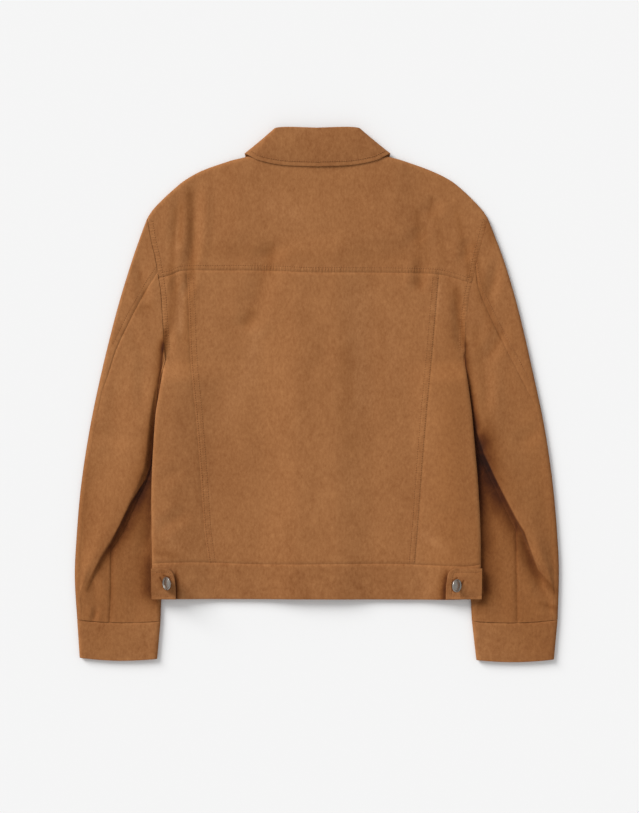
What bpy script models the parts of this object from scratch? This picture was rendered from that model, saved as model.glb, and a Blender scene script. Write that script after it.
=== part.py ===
"""A suede trucker jacket, laid flat on its front with its back up.

It lies on the XY plane with +Z up and its collar towards +Y. The wearer's left is at -X. The
tables are in millimetres, and MM turns them into Blender's metres. Every piece of cloth is a wall:
a grid of points on its outer face, and the same grid moved in by the cloth's thickness.
"""
import math

import bpy
import numpy as np

MM = 0.001

for item in list(bpy.data.objects):
    bpy.data.objects.remove(item, do_unlink=True)

# ---------------------------------------------------------------- driving sizes, in millimetres
CLOTH = 1.4            # the bonded suede
DOUBLED = 2.2          # collar, cuffs, waistband and tabs, which are sewn double and pressed
SEAM = 0.3             # gap between two pieces at their seam
BODY_THICK = 5.8       # both layers of the body with the air between them
SLEEVE_THICK = 6.2     # the same for a sleeve
CUFF_THICK = 6.2
EDGE_ROUND = 4.0       # how far in a fold's roundness reaches
BODY_LIFT = SLEEVE_THICK + SEAM + 0.2     # the body's sides lie on the sleeves' inner edges
LIFT_FLAT = 18.0       # width of the side that stays lifted
LIFT_REACH = 92.0      # where the front is down on the table again
ARMPIT_Y = 54.0
LIFT_TOP_Y = 50.0      # the side starts to rise below the armpit
LIFT_FULL_Y = 14.0     # and lies on the sleeve from here down
NECK_LIFT = 2.8        # the fronts lie on the collar's points below the neck
NECK_LIFT_Y = (190.0, 232.0)
NECK_LIFT_X = (104.0, 150.0)

WAIST_SEAM_Y = -238.0
LAP_HALF = 19.0        # half the width of the front's button stand
BUTTON_HEAD = 2.4      # height of a front button's head under the button stand
CENTRE_RISE = 4.9      # how much the closed front lifts the middle of the back

# The body's two sides: armholes above the armpit, folded side seams below it.
SIDES = (
    # y,     left,   right
    (247.0, -238.0, 240.0),
    (217.0, -233.0, 232.0),
    (194.0, -227.6, 226.0),
    (164.0, -222.3, 219.5),
    (146.0, -219.5, 215.0),
    (110.0, -217.0, 209.5),
    (76.0, -214.8, 207.5),
    (54.0, -213.2, 207.5),
    (27.0, -216.7, 210.3),
    (0.0, -221.2, 213.9),
    (-26.0, -225.5, 217.3),
    (-61.0, -228.2, 220.4),
    (-124.0, -231.3, 225.7),
    (-190.0, -231.3, 229.2),
    (-236.0, -230.4, 229.8),
    (-287.0, -229.3, 229.2),
)

# Upper edge of the body, from one shoulder point over the neck to the other.
# fold is 1 on the shoulders, where the cloth rolls over to the front, and 0 along the neck seam.
TOP_EDGE = (
    # x,      y,     fold
    (-238.0, 247.0, 1.0),
    (-231.0, 258.0, 1.0),
    (-218.0, 272.0, 1.0),
    (-203.0, 286.0, 1.0),
    (-186.0, 300.0, 1.0),
    (-161.0, 314.0, 1.0),
    (-122.0, 327.5, 1.0),
    (-106.0, 331.4, 1.0),
    (-97.0, 333.4, 1.0),
    (-88.0, 333.6, 1.0),
    (-78.0, 333.4, 0.0),
    (-42.0, 331.0, 0.0),
    (0.0, 330.0, 0.0),
    (42.0, 331.0, 0.0),
    (79.0, 333.4, 0.0),
    (90.0, 333.6, 1.0),
    (99.0, 333.4, 1.0),
    (108.0, 331.4, 1.0),
    (122.0, 327.5, 1.0),
    (160.0, 314.0, 1.0),
    (188.0, 300.0, 1.0),
    (205.4, 286.0, 1.0),
    (220.0, 272.0, 1.0),
    (232.7, 258.0, 1.0),
    (240.0, 247.0, 1.0),
)

# The seam under the back yoke drops towards both armholes.
YOKE_SEAM = (
    # x,      y
    (-222.3, 163.7),
    (-208.0, 166.5),
    (-190.0, 173.3),
    (-150.0, 174.0),
    (-65.0, 173.5),
    (-11.0, 171.0),
    (76.0, 171.0),
    (147.0, 170.0),
    (174.0, 168.0),
    (192.0, 163.5),
    (218.0, 155.5),
)

# The two long seams of the back, from the yoke to the waistband.
LONG_SEAMS = (
    # y,     left,   right
    (174.0, -183.0, 172.0),
    (128.0, -180.3, 168.3),
    (54.0, -177.5, 162.0),
    (-26.0, -170.2, 154.6),
    (-115.0, -163.1, 147.4),
    (-190.0, -157.8, 142.0),
    (-237.0, -151.5, 137.8),
)

# The waistband's upper seam and the hem.
WAIST_SEAM = (
    # x,      y
    (-230.4, -236.7),
    (-202.0, -235.3),
    (-154.0, -235.5),
    (-81.0, -238.0),
    (102.0, -237.4),
    (174.0, -239.8),
    (209.6, -240.7),
    (229.8, -238.0),
)

HEM_EDGE = (
    # x,      y
    (-229.3, -282.5),
    (-216.0, -284.6),
    (-195.0, -286.5),
    (0.0, -287.0),
    (180.0, -287.6),
    (213.0, -286.3),
    (229.3, -284.0),
)

# The front neckline, from the centre of the front to the neck point on the shoulder.
FRONT_NECK = (
    # x,     y
    (0.0, 261.0),
    (20.0, 264.0),
    (48.0, 281.0),
    (63.0, 299.0),
    (73.0, 317.0),
    (80.0, 332.0),
)


# The sleeves' folded edges, in sections from the armhole to the cuff.
SLEEVE_LEFT = (
    # outer x, outer y, inner x, inner y
    (-238.0, 247.0, -213.2, 54.0),
    (-247.0, 223.2, -214.9, 45.0),
    (-261.5, 181.2, -217.5, 32.0),
    (-280.4, 118.2, -220.5, 14.0),
    (-301.4, 34.2, -217.0, -30.0),
    (-318.9, -49.8, -217.5, -92.0),
    (-331.5, -133.8, -218.5, -160.0),
    (-338.3, -217.8, -218.0, -228.0),
    (-339.5, -262.0, -217.8, -268.0),
    (-336.3, -315.6, -219.3, -317.6),
)

SLEEVE_RIGHT = (
    # outer x, outer y, inner x, inner y
    (240.0, 247.0, 207.5, 54.0),
    (249.5, 223.2, 208.7, 45.0),
    (264.9, 181.2, 211.0, 32.0),
    (283.1, 118.2, 213.0, 14.0),
    (302.7, 34.2, 208.0, -30.0),
    (320.2, -49.8, 211.0, -92.0),
    (332.1, -133.8, 214.0, -160.0),
    (338.8, -217.8, 215.3, -228.0),
    (339.7, -262.0, 215.2, -268.0),
    (338.0, -315.8, 217.6, -317.8),
)

# Lines on the sleeves, as x at y on the left and on the right.
BACK_SEAMS = (
    # y,     left,   right
    (171.0, -223.3, 223.0),
    (146.2, -239.1, 227.5),
    (107.0, -260.1, 244.0),
    (62.2, -281.1, 266.0),
    (27.2, -292.3, 284.0),
    (-14.8, -307.7, 305.5),
    (-38.6, -316.0, 316.7),
    (-70.0, -326.0, 326.0),
)

ELBOW_FOLDS = (
    # y,      left,   right
    (52.4, -214.5, 209.6),
    (15.1, -223.7, 213.6),
    (-7.8, -228.2, 217.2),
    (-34.4, -231.8, 222.2),
    (-61.0, -234.2, 227.6),
    (-98.8, -238.6, 241.8),
    (-120.5, -245.3, 252.4),
    (-154.4, -261.2, 269.0),
    (-189.8, -277.3, 286.0),
    (-223.4, -297.9, 300.9),
    (-247.2, -309.5, 313.0),
    (-290.0, -328.0, 327.0),
)

FOREARM_SEAMS = (
    # y,      left,   right
    (-100.0, -287.0, 277.0),
    (-177.2, -288.0, 278.3),
    (-219.2, -288.2, 279.3),
    (-272.4, -288.6, 280.1),
    (-318.6, -290.5, 281.1),
)

# The drop from the elbow fold's crest to the forearm under it.
FOLD_SHAPE = (
    # across, height left
    (-9.0, 1.0),
    (-5.0, 0.99),
    (-2.6, 0.93),
    (-0.9, 0.75),
    (0.0, 0.48),
    (0.9, 0.22),
    (2.6, 0.06),
    (5.0, 0.0),
)
FOLD_HEIGHT = 5.0      # of the elbow fold's crest
FOLD_SWELL = 65.0      # the crest rises over this width
FOLD_START = (3.0, 4.6)     # sections between which the fold opens
FOLD_END = (7.0, 8.6)       # and between which it lies down again
ARMHOLE_BOW_END = 3.0       # sections below this one are straight
CUFF_SAG = 3.2         # how far the cuff's seam bows down between its ends

# The cuffs' lower corners.
CUFF_LEFT = ((-336.3, -315.6, -219.3, -317.6), (-332.8, -369.5, -224.0, -371.0))
CUFF_RIGHT = ((338.0, -315.8, 217.6, -317.8), (332.8, -371.8, 223.9, -372.7))


# The collar in sections from the middle of the back round one side to the front. Its left half
# is given; the right one mirrors it, a little wider. Height is the middle between stand and fall,
# and the turn is the way its outer side faces: 0 up, 90 out to the side, 180 down.
COLLAR = (
    # neck x, y,    roll x,  y,     edge x,  y,     height, turn
    (0.0, 331.0, 0.0, 375.2, 0.0, 319.2, 9.3, 0.0),
    (-42.0, 332.2, -37.0, 376.3, -48.0, 321.3, 9.3, 0.0),
    (-66.0, 334.4, -52.0, 375.6, -80.0, 327.6, 9.3, 8.0),
    (-73.0, 336.4, -55.0, 374.0, -93.0, 333.6, 8.6, 42.0),
    (-76.0, 337.6, -57.3, 371.0, -99.2, 336.2, 5.75, 90.0),
    (-75.5, 335.5, -56.5, 366.0, -99.8, 334.4, 2.9, 138.0),
    (-72.5, 327.0, -54.0, 355.0, -97.0, 323.0, 2.4, 174.0),
    (-46.2, 284.0, -35.0, 308.0, -74.0, 250.0, 2.4, 180.0),
    (-12.0, 265.4, -10.0, 290.0, -24.0, 236.0, 2.4, 180.0),
)
COLLAR_PLY_GAP = 0.4   # between stand and fall
COLLAR_RIGHT = 1.02    # the right half's width next to the left one's

# Free ends of the waist tabs, as x at y.
TAB_ENDS = (
    # y,      left,   right
    (-286.5, -197.0, 181.0),
    (-270.0, -197.4, 181.0),
    (-259.0, -198.6, 182.2),
    (-252.0, -200.4, 183.6),
    (-247.5, -202.6, 186.2),
    (-243.5, -206.5, 192.0),
)
TAB_OVERHANG = 1.4     # the tabs stick out past the folded side

BUTTON_RADIUS = 8.9
BUTTON_AT = ((-209.4, -263.6), (195.4, -266.7))
BUTTON_LEAN = (52.0, 46.0)          # the shanks let the tab buttons lean outward, in degrees
FRONT_BUTTON_YS = (205.0, 118.0, 31.0, -56.0, -143.0, -218.0, -262.0)

# Half of a button's outline: in front of (+) and behind (-) its seat, at a distance from the axis.
BUTTON_PROFILE = (
    # radius, height
    (0.0, 1.7),
    (3.4, 1.6),
    (6.2, 1.1),
    (6.6, 1.5),
    (7.9, 1.6),
    (8.7, 0.9),
    (8.9, 0.0),
    (8.3, -0.7),
    (3.0, -1.0),
    (2.6, -6.4),
    (0.0, -6.4),
)
FRONT_PROFILE = (
    # radius, height
    (0.0, 0.3),
    (6.2, 0.3),
    (6.6, 0.0),
    (7.9, 0.0),
    (8.6, 0.7),
    (8.6, 1.6),
    (7.8, 2.4),
    (0.0, 2.4),
)


# ---------------------------------------------------------------- small tools
def smooth(x, start, end):
    """0 before start, 1 past end, an even S between them."""
    t = min(1.0, max(0.0, (x - start) / (end - start)))
    return t * t * (3.0 - 2.0 * t)


def along(table, x, column=1):
    """The value in a column of a table at x in its first column, by a smooth curve."""
    rows = table if table[0][0] < table[-1][0] else table[::-1]
    keys = [row[0] for row in rows]
    values = [row[column] for row in rows]
    x = min(max(x, keys[0]), keys[-1])
    i = min(len(keys) - 2, max(0, int(np.searchsorted(keys, x)) - 1))
    slopes = []
    for k in (i, i + 1):
        a, b = max(0, k - 1), min(len(keys) - 1, k + 1)
        slopes.append((values[b] - values[a]) / (keys[b] - keys[a]))
    h = keys[i + 1] - keys[i]
    t = (x - keys[i]) / h
    return ((2 * t**3 - 3 * t**2 + 1) * values[i] + (t**3 - 2 * t**2 + t) * h * slopes[0]
            + (3 * t**2 - 2 * t**3) * values[i + 1] + (t**3 - t**2) * h * slopes[1])


def side_x(hand, y):
    """The body's side at height y; hand is -1 on the left and 1 on the right."""
    return along(SIDES, y, 1 if hand < 0 else 2)


def body_floor(x, y):
    """Height of the body's lower face: its sides lie on the sleeves, its middle on the table."""
    inward = min(x - side_x(-1, y), side_x(1, y) - x)
    across = 1.0 - smooth(inward, LIFT_FLAT, LIFT_REACH)
    side_lift = BODY_LIFT * across * (1.0 - smooth(y, LIFT_FULL_Y, LIFT_TOP_Y))
    return side_lift + NECK_LIFT * smooth(y, *NECK_LIFT_Y) * (1.0 - smooth(abs(x), *NECK_LIFT_X))


def suede(name, colour, roughness=0.9, metallic=0.0):
    """A plain material of one colour."""
    material = bpy.data.materials.new(name)
    material.use_nodes = True
    shader = material.node_tree.nodes["Principled BSDF"]
    shader.inputs["Base Color"].default_value = (*colour, 1.0)
    shader.inputs["Roughness"].default_value = roughness
    shader.inputs["Metallic"].default_value = metallic
    return material


def wall(name, outer, inner, material, closed=False):
    """A closed solid between two grids of points; closed grids join their last column to the first."""
    outer, inner = np.asarray(outer, float), np.asarray(inner, float)
    rows, cols = outer.shape[:2]
    points = np.concatenate([outer.reshape(-1, 3), inner.reshape(-1, 3)]) * MM
    far = rows * cols
    faces = []

    def at(i, j):
        return i * cols + j % cols

    spans = cols if closed else cols - 1
    for i in range(rows - 1):
        for j in range(spans):
            a, b, c, d = at(i, j), at(i, j + 1), at(i + 1, j + 1), at(i + 1, j)
            faces.append((a, b, c, d))
            faces.append((far + d, far + c, far + b, far + a))
    for j in range(spans):
        faces.append((at(0, j), far + at(0, j), far + at(0, j + 1), at(0, j + 1)))
        last = rows - 1
        faces.append((at(last, j + 1), far + at(last, j + 1), far + at(last, j), at(last, j)))
    if not closed:
        for i in range(rows - 1):
            last = cols - 1
            faces.append((at(i + 1, 0), far + at(i + 1, 0), far + at(i, 0), at(i, 0)))
            faces.append((at(i, last), far + at(i, last), far + at(i + 1, last), at(i + 1, last)))
    mesh = bpy.data.meshes.new(name)
    mesh.from_pydata([tuple(p) for p in points], [], faces)
    mesh.update()
    if volume(mesh) < 0.0:
        mesh.flip_normals()
    mesh.materials.append(material)
    piece = bpy.data.objects.new(name, mesh)
    bpy.context.collection.objects.link(piece)
    return piece


def volume(mesh):
    """Signed volume of a closed mesh; negative if its faces point inwards."""
    total = 0.0
    for polygon in mesh.polygons:
        corners = [mesh.vertices[i].co for i in polygon.vertices]
        for k in range(1, len(corners) - 1):
            total += corners[0].dot(corners[k].cross(corners[k + 1]))
    return total / 6.0


# ---------------------------------------------------------------- the body
def hem_y(x):
    return along(HEM_EDGE, x)


def centre_rise(x, y, height, reach=85.0):
    """A rise over the closed front, which dies out to both sides and above the collar's points."""
    return height * (1.0 - smooth(abs(x), LAP_HALF + 3.0, reach)) * (1.0 - smooth(y, *NECK_LIFT_Y))


def layer_height(layer, x, y, depth):
    """Height of a point of one of the body's layers, at a depth under that layer's outer face."""
    floor = body_floor(x, y)
    if layer == "back":
        return floor + BODY_THICK + centre_rise(x, y, CENTRE_RISE) - depth
    rise = centre_rise(x, y, BUTTON_HEAD + SEAM)
    if layer == "lap":
        rise += (2.0 * SEAM + depth_of_lap(y)) * (1.0 - smooth(x, LAP_HALF + 2.0, 60.0))
    return floor + rise + depth


def depth_of_lap(y):
    """Thickness of what lies under the right front's lap: the placket, or the waistband."""
    return DOUBLED if y < WAIST_SEAM_Y + 12.0 else CLOTH


def edge_roundness(x, y, sides, top):
    """How near a point is to a fold, from 0 (flat) to 1 (on it), and the way inward from it."""
    pulls = []
    if sides:
        folded = 1.0 - smooth(y, ARMPIT_Y, ARMPIT_Y + 10.0)
        for hand in (-1, 1):
            near = max(0.0, 1.0 - abs(x - side_x(hand, y)) / EDGE_ROUND)
            pulls.append((near * folded, (-hand, 0.0)))
    if top:
        slope = (along(TOP_EDGE, x + 1.0) - along(TOP_EDGE, x - 1.0)) / 2.0
        length = math.hypot(slope, 1.0)
        gap = (along(TOP_EDGE, x) - y) / length
        near = max(0.0, 1.0 - max(0.0, gap) / EDGE_ROUND) * along(TOP_EDGE, x, 2)
        pulls.append((near, (slope / length, -1.0 / length)))
    return pulls


def body_points(layer, place, us, vs, depth, sides, top):
    """One face of a panel. us and vs are stops (fraction, millimetres) across and up the panel."""
    grid = []
    for v_part, v_mm in vs:
        row = []
        for u_part, u_mm in us:
            v = v_part
            for _ in range(2):
                low, high = place(u_part, 0.0), place(u_part, 1.0)
                v = v_part + v_mm / math.dist(low, high)
            start, end = place(0.0, v), place(1.0, v)
            x, y = place(u_part + u_mm / math.dist(start, end), v)
            z_mid = body_floor(x, y) + BODY_THICK / 2.0
            z = layer_height(layer, x, y, depth)
            near_all = 0.0
            pulls = edge_roundness(x, y, sides, top)
            for near, way in pulls:
                near_all += near * near
            for near, way in pulls:
                x += way[0] * depth * near
                y += way[1] * depth * near
            z = z_mid + (z - z_mid) * math.sqrt(max(0.0, 1.0 - min(1.0, near_all)))
            if near_all > 0.0:
                z += (1.0 if layer == "back" else -1.0) * SEAM / 2.0 * near_all
            row.append((x, y, z))
        grid.append(row)
    return grid


def panel(name, layer, place, us, vs, material, thickness=CLOTH, sides=False, top=False):
    faces = [body_points(layer, place, us, vs, depth, sides, top) for depth in (0.0, thickness)]
    return wall(name, faces[0], faces[1], material)


def between(low_y, high_y, left_x, right_x):
    """A panel's flat shape from its four edges: low and high are y at x, left and right x at y."""
    def place(u, v):
        low_x = high_x = 0.0
        for _ in range(4):
            y_low, y_high = low_y(low_x), high_y(high_x)
            low_x = left_x(y_low) * (1.0 - u) + right_x(y_low) * u
            high_x = left_x(y_high) * (1.0 - u) + right_x(y_high) * u
        y = y_low * (1.0 - v) + y_high * v
        return (left_x(y) * (1.0 - u) + right_x(y) * u, y)
    return place


def even(count, first=(), last=()):
    """Stops at even fractions, with extra stops in millimetres inside the first and last edge."""
    stops = [(k / count, 0.0) for k in range(count + 1)]
    if first:
        stops = [(0.0, mm) for mm in first] + stops[1:]
    if last:
        stops = stops[:-1] + [(1.0, -mm) for mm in last[::-1]]
    return stops


ROUND_STOPS = (0.0, 0.13 * EDGE_ROUND, 0.5 * EDGE_ROUND, EDGE_ROUND)


def matched(seam_y, left_x, right_x, *runs):
    """Stops along a seam for a long piece, at the columns of the runs (stops, left x, right x)."""
    stops = []
    for run, start_x, end_x in runs:
        for part, mm in run:
            x = 0.0
            for _ in range(4):
                start, end = start_x(seam_y(x)), end_x(seam_y(x))
                x = start + part * (end - start) + mm
            y = seam_y(x)
            stops.append(((x - left_x(y)) / (right_x(y) - left_x(y)), 0.0))
    return stops


def build_body(cloth):
    half = SEAM / 2.0

    def left(y):
        return side_x(-1, y) + half

    def right(y):
        return side_x(1, y) - half

    def seam(hand, gap):
        return lambda y: along(LONG_SEAMS, y, 1 if hand < 0 else 2) + gap

    def yoke_low(x):
        return along(YOKE_SEAM, x) + half

    def yoke_high(x):
        return along(YOKE_SEAM, x) - half

    def waist_low(x):
        return along(WAIST_SEAM, x) + half

    def waist_high(x):
        return along(WAIST_SEAM, x) - half

    def neck(x):
        return along(TOP_EDGE, x)

    def front_top(x):
        return along(FRONT_NECK, abs(x)) if abs(x) < FRONT_NECK[-1][0] else along(TOP_EDGE, x)

    def across_back(seam_y):
        """The stops of the three lower back panels along a seam."""
        return matched(seam_y, left, right, (left_side, left, seam(-1, -half)),
                       (middle, seam(-1, half), seam(1, -half)), (right_side, seam(1, half), right))

    rise = even(9)
    front_rows = even(15, (), ROUND_STOPS)
    middle = even(10)
    left_side = even(3, ROUND_STOPS)
    right_side = even(3, (), ROUND_STOPS)
    panel("back_yoke", "back", between(yoke_low, neck, left, right), across_back(yoke_high),
          even(4, (), ROUND_STOPS), cloth, top=True)
    panel("back_center", "back", between(waist_low, yoke_high, seam(-1, half), seam(1, -half)),
          middle, rise, cloth)
    panel("back_side_left", "back", between(waist_low, yoke_high, left, seam(-1, -half)),
          left_side, even(15), cloth, sides=True)
    panel("back_side_right", "back", between(waist_low, yoke_high, seam(1, half), right),
          right_side, even(15), cloth, sides=True)

    panel("front_left", "front", between(waist_low, front_top, left, lambda y: -LAP_HALF),
          even(7, ROUND_STOPS), front_rows, cloth, sides=True, top=True)
    panel("front_placket", "front", between(waist_low, front_top, lambda y: SEAM - LAP_HALF,
          lambda y: LAP_HALF), even(2), front_rows, cloth)
    panel("front_right", "lap", between(waist_low, front_top, lambda y: SEAM - LAP_HALF, right),
          even(8, (), ROUND_STOPS), front_rows, cloth, sides=True, top=True)

    def band(name, layer, left_x, right_x, us):
        panel(name, layer, between(hem_y, waist_high, left_x, right_x), us, even(2), cloth,
              thickness=DOUBLED, sides=True)

    band("waistband_back", "back", left, right, across_back(waist_low))
    band("waistband_front_left", "front", left, lambda y: LAP_HALF, even(8, ROUND_STOPS))
    band("waistband_front_right", "lap", lambda y: SEAM - LAP_HALF, right,
         even(8, (), ROUND_STOPS))


# ---------------------------------------------------------------- the sleeves
def sections_table(edges):
    """The table of sections with its number put first in each row, for reading between them."""
    return [(float(k), *row) for k, row in enumerate(edges)]


class Sleeve:
    """A flattened tube. A point on it has a section k and a girth q in millimetres: q runs from the
    outer fold over the top to the inner fold, and on below; negative q runs back below."""

    def __init__(self, hand, edges):
        self.hand = hand
        self.column = 1 if hand < 0 else 2
        self.edges = sections_table(edges)
        self.last = float(len(edges) - 1)

    def ends(self, k):
        ox, oy, ix, iy = (along(self.edges, k, column) for column in (1, 2, 3, 4))
        return np.array((ox, oy)), np.array((ix, iy))

    def width(self, k):
        outer, inner = self.ends(k)
        return float(np.linalg.norm(inner - outer))

    def flat(self, k, p):
        """The place in the plane of a point p millimetres in from the outer fold."""
        outer, inner = self.ends(k)
        s = p / self.width(k)
        place = outer + (inner - outer) * s
        bow = max(0.0, 1.0 - k / ARMHOLE_BOW_END) ** 2
        if bow > 0.0:
            top, low = self.ends(0.0)
            line = top + (low - top) * s
            place[0] += bow * (side_x(self.hand, line[1]) + self.hand * 1.4 * SEAM - line[0])
        place[1] -= CUFF_SAG * math.sin(math.pi * min(1.0, max(0.0, s))) * (k / self.last) ** 8
        return place

    def crossing(self, k, table):
        """Where the section crosses a line of a table, in from the outer fold."""
        low, high = 0.0, self.width(k)
        for _ in range(30):
            middle = (low + high) / 2.0
            x, y = self.flat(k, middle)
            outside = self.hand * (x - along(table, y, self.column)) > 0.0
            low, high = (middle, high) if outside else (low, middle)
        return (low + high) / 2.0

    def fold_at(self, k):
        return max(16.0, self.crossing(k, ELBOW_FOLDS))

    def fold_depth(self, k):
        return FOLD_HEIGHT * smooth(k, *FOLD_START) * (1.0 - smooth(k, *FOLD_END))

    def back_seam(self, k):
        """The back seam runs down the top and on beside the outer fold."""
        p = self.crossing(k, BACK_SEAMS)
        return EDGE_ROUND + 1.0 + max(0.0, p - EDGE_ROUND - 1.0) * (1.0 - smooth(k, 4.6, 5.6))

    def forearm_seam(self, k):
        """Above the place where it shows, the forearm seam lies at the foot of the elbow fold."""
        foot = self.fold_at(k) + FOLD_SHAPE[-1][0] + 2.5
        shown = self.crossing(k, FOREARM_SEAMS)
        hidden = min(foot, self.width(k) - EDGE_ROUND - 1.5)
        return max(shown, hidden) if k > FOLD_START[1] else hidden

    def profile(self, k, q):
        """The section's outline at girth q, as (in from the outer fold, up)."""
        width, half = self.width(k), SLEEVE_THICK / 2.0
        for centre, way in ((0.0, 1.0), (width, -1.0)):
            turn = (q - centre) / EDGE_ROUND * math.pi / 2.0
            if abs(turn) < math.pi / 2.0:
                across = EDGE_ROUND * (1.0 - math.cos(turn))
                return centre + way * across, half + way * half * math.sin(turn)
        if q < 0.0:
            return -q, 0.0
        if q > width:
            return 2.0 * width - q, 0.0
        depth, fold = self.fold_depth(k), self.fold_at(k)
        if q < fold + FOLD_SHAPE[0][0]:
            start = max(EDGE_ROUND, fold - FOLD_SWELL)
            rise = smooth(q, start, fold + FOLD_SHAPE[0][0])
        else:
            rise = along(FOLD_SHAPE, q - fold)
        return q, SLEEVE_THICK + depth * rise

    def point(self, k, q, inset):
        """A point of the sleeve, at a depth of inset under its outer face."""
        step = 0.15
        p, z = self.profile(k, q)
        p1, z1 = self.profile(k, q - step)
        p2, z2 = self.profile(k, q + step)
        length = math.hypot(p2 - p1, z2 - z1)
        p += inset * (z2 - z1) / length
        z -= inset * (p2 - p1) / length
        x, y = self.flat(k, p)
        return (x, y, z)

    def piece(self, name, ks, girths, material):
        faces = []
        for inset in (0.0, CLOTH):
            faces.append([[self.point(k, q, inset) for q in girths(k)] for k in ks])
        return wall(name, faces[0], faces[1], material)

    def build(self, label, material):
        half = SEAM / 2.0
        ks = [0.0, 0.5, 1.0, 1.6, 2.2, 3.0, 3.8, 4.4, 5.0, 5.6, 6.2, 6.8, 7.4, 8.0, 8.5]
        ks.append(self.last - half / 53.0)

        def under(k):
            start, fold = self.back_seam(k) + half, self.fold_at(k)
            end = self.forearm_seam(k) - half
            folds = [fold + row[0] for row in FOLD_SHAPE]
            near = folds[0]
            first = [start + (near - start) * part for part in (0.0, 0.2, 0.4, 0.6, 0.8)]
            stops = first + folds
            return (squeeze(stops, end) if stops[-1] > end - 1.0 else stops) + [end]

        def top(k):
            width, end = self.width(k), self.back_seam(k) - half
            start = self.forearm_seam(k) + half
            straight = width - EDGE_ROUND
            inner_fold = [width + EDGE_ROUND * part for part in (-0.5, 0.0, 0.5, 1.0)]
            below = [-(width - EDGE_ROUND) + (width - 2.0 * EDGE_ROUND) * part
                     for part in (0.2, 0.4, 0.6, 0.8)]
            outer_fold = [EDGE_ROUND * part for part in (-1.0, -0.5, 0.0, 0.5, 1.0)]
            return ([start, 0.5 * (straight + start), straight] + inner_fold + below + outer_fold
                    + [0.5 * (EDGE_ROUND + end), end])

        self.piece("sleeve_under_" + label, ks, under, material)
        self.piece("sleeve_top_" + label, ks, top, material)


def squeeze(stops, end):
    """The same stops, drawn together so that they end a little before end."""
    start = stops[0]
    scale = (end - 1.0 - start) / (stops[-1] - start)
    return [start + (stop - start) * scale for stop in stops]


def build_cuff(name, corners, material):
    """A cuff is a closed ring: two faces between its upper and lower line."""
    upper, lower = (np.array(row) for row in corners)
    faces = []
    for inset in (0.0, DOUBLED):
        grid = []
        for v in (0.0, 0.2, 0.5, 0.8, 1.0):
            row = upper * (1.0 - v) + lower * v
            outer, inner = row[:2], row[2:]
            width = float(np.linalg.norm(inner - outer))
            half = CUFF_THICK / 2.0
            line = []
            for end_p, way, angles in ((0.0, 1.0, (-90, -60, -30, 0, 30, 60, 90)),
                                       (width, -1.0, (90, 60, 30, 0, -30, -60, -90))):
                for angle in angles:
                    turn = math.radians(angle)
                    p = end_p + way * (inset + (EDGE_ROUND - inset) * (1.0 - math.cos(turn)))
                    line.append((p, half + (half - inset) * math.sin(turn)))
                flat_z = CUFF_THICK - inset if way > 0.0 else inset
                for part in (0.2, 0.4, 0.6, 0.8):
                    step = part if way > 0.0 else 1.0 - part
                    line.append((EDGE_ROUND + (width - 2.0 * EDGE_ROUND) * step, flat_z))
            points = []
            for p, z in line:
                s = min(1.0, max(0.0, p / width))
                place = outer + (inner - outer) * (p / width)
                sag = CUFF_SAG * math.sin(math.pi * s) + SEAM * (1.0 - v)
                points.append((place[0], place[1] - sag, z))
            grid.append(points)
        faces.append(grid)
    return wall(name, faces[0], faces[1], material, closed=True)


# ---------------------------------------------------------------- collar, tabs and buttons
def collar_section(hand, k):
    """A section's places of neck seam, roll and edge, and its outward direction."""
    table = sections_table(COLLAR)
    nx, ny, rx, ry, ex, ey, z, turn = (along(table, k, column) for column in range(1, 9))
    scale = -hand if hand < 0 else -COLLAR_RIGHT
    neck, roll, edge = (np.array((x * scale, y, z)) for x, y in ((nx, ny), (rx, ry), (ex, ey)))
    slope = roll - edge
    aside = np.array((hand * abs(slope[1]), abs(slope[0]), 0.0))
    aside /= np.linalg.norm(aside)
    turn = math.radians(turn)
    outward = aside * math.sin(turn) + np.array((0.0, 0.0, math.cos(turn)))
    return neck, roll, edge, outward / np.linalg.norm(outward)


def build_collar(material):
    """Stand and fall in one piece: up from the neck seam, over the roll and down outside."""
    radius = (DOUBLED + COLLAR_PLY_GAP) / 2.0
    ks = [0.5 * number for number in range(2 * len(COLLAR) - 1)]
    stations = [(1, k) for k in ks[::-1]] + [(-1, k) for k in ks[1:]]
    outer, inner = [], []
    for hand, k in stations:
        neck, roll, edge, outward = collar_section(hand, k)
        up = roll - (neck + edge) / 2.0
        up -= outward * np.dot(up, outward)
        up /= np.linalg.norm(up)
        centre = roll - up * (radius + DOUBLED / 2.0)
        row_out, row_in = [], []
        path = []
        for part in (0.0, 0.5, 1.0):
            path.append((neck + (centre - neck) * part - outward * radius, -outward))
        for angle in (-50.0, 0.0, 50.0):
            turn = math.radians(angle)
            way = up * math.cos(turn) + outward * math.sin(turn)
            path.append((centre + way * radius, way))
        for part in (0.0, 0.25, 0.5, 0.75, 1.0):
            path.append((centre + (edge - centre) * part + outward * radius, outward))
        for point, way in path:
            row_out.append(point + way * DOUBLED / 2.0)
            row_in.append(point - way * DOUBLED / 2.0)
        outer.append(row_out)
        inner.append(row_in)
    return wall("collar", outer, inner, material)


def build_tab(hand, name, material):
    """A tab is the waistband's surface moved out, from past the side fold to its free end."""
    column = 1 if hand < 0 else 2
    us, vs = (0.0, 0.25, 0.5, 0.75, 1.0), (0.0, 0.3, 0.55, 0.75, 0.9, 1.0)
    faces = []
    for height in (SEAM + DOUBLED, SEAM):
        grid = []
        for v in vs:
            row = []
            for u in us:
                y = TAB_ENDS[0][0] * (1.0 - v) + TAB_ENDS[-1][0] * v
                side = side_x(hand, y) + hand * TAB_OVERHANG
                x = side * (1.0 - u) + along(TAB_ENDS, y, column) * u
                row.append((x, y, body_floor(x, y) + BODY_THICK + height))
            grid.append(row)
        faces.append(grid)
    return wall(name, faces[0], faces[1], material)


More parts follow.
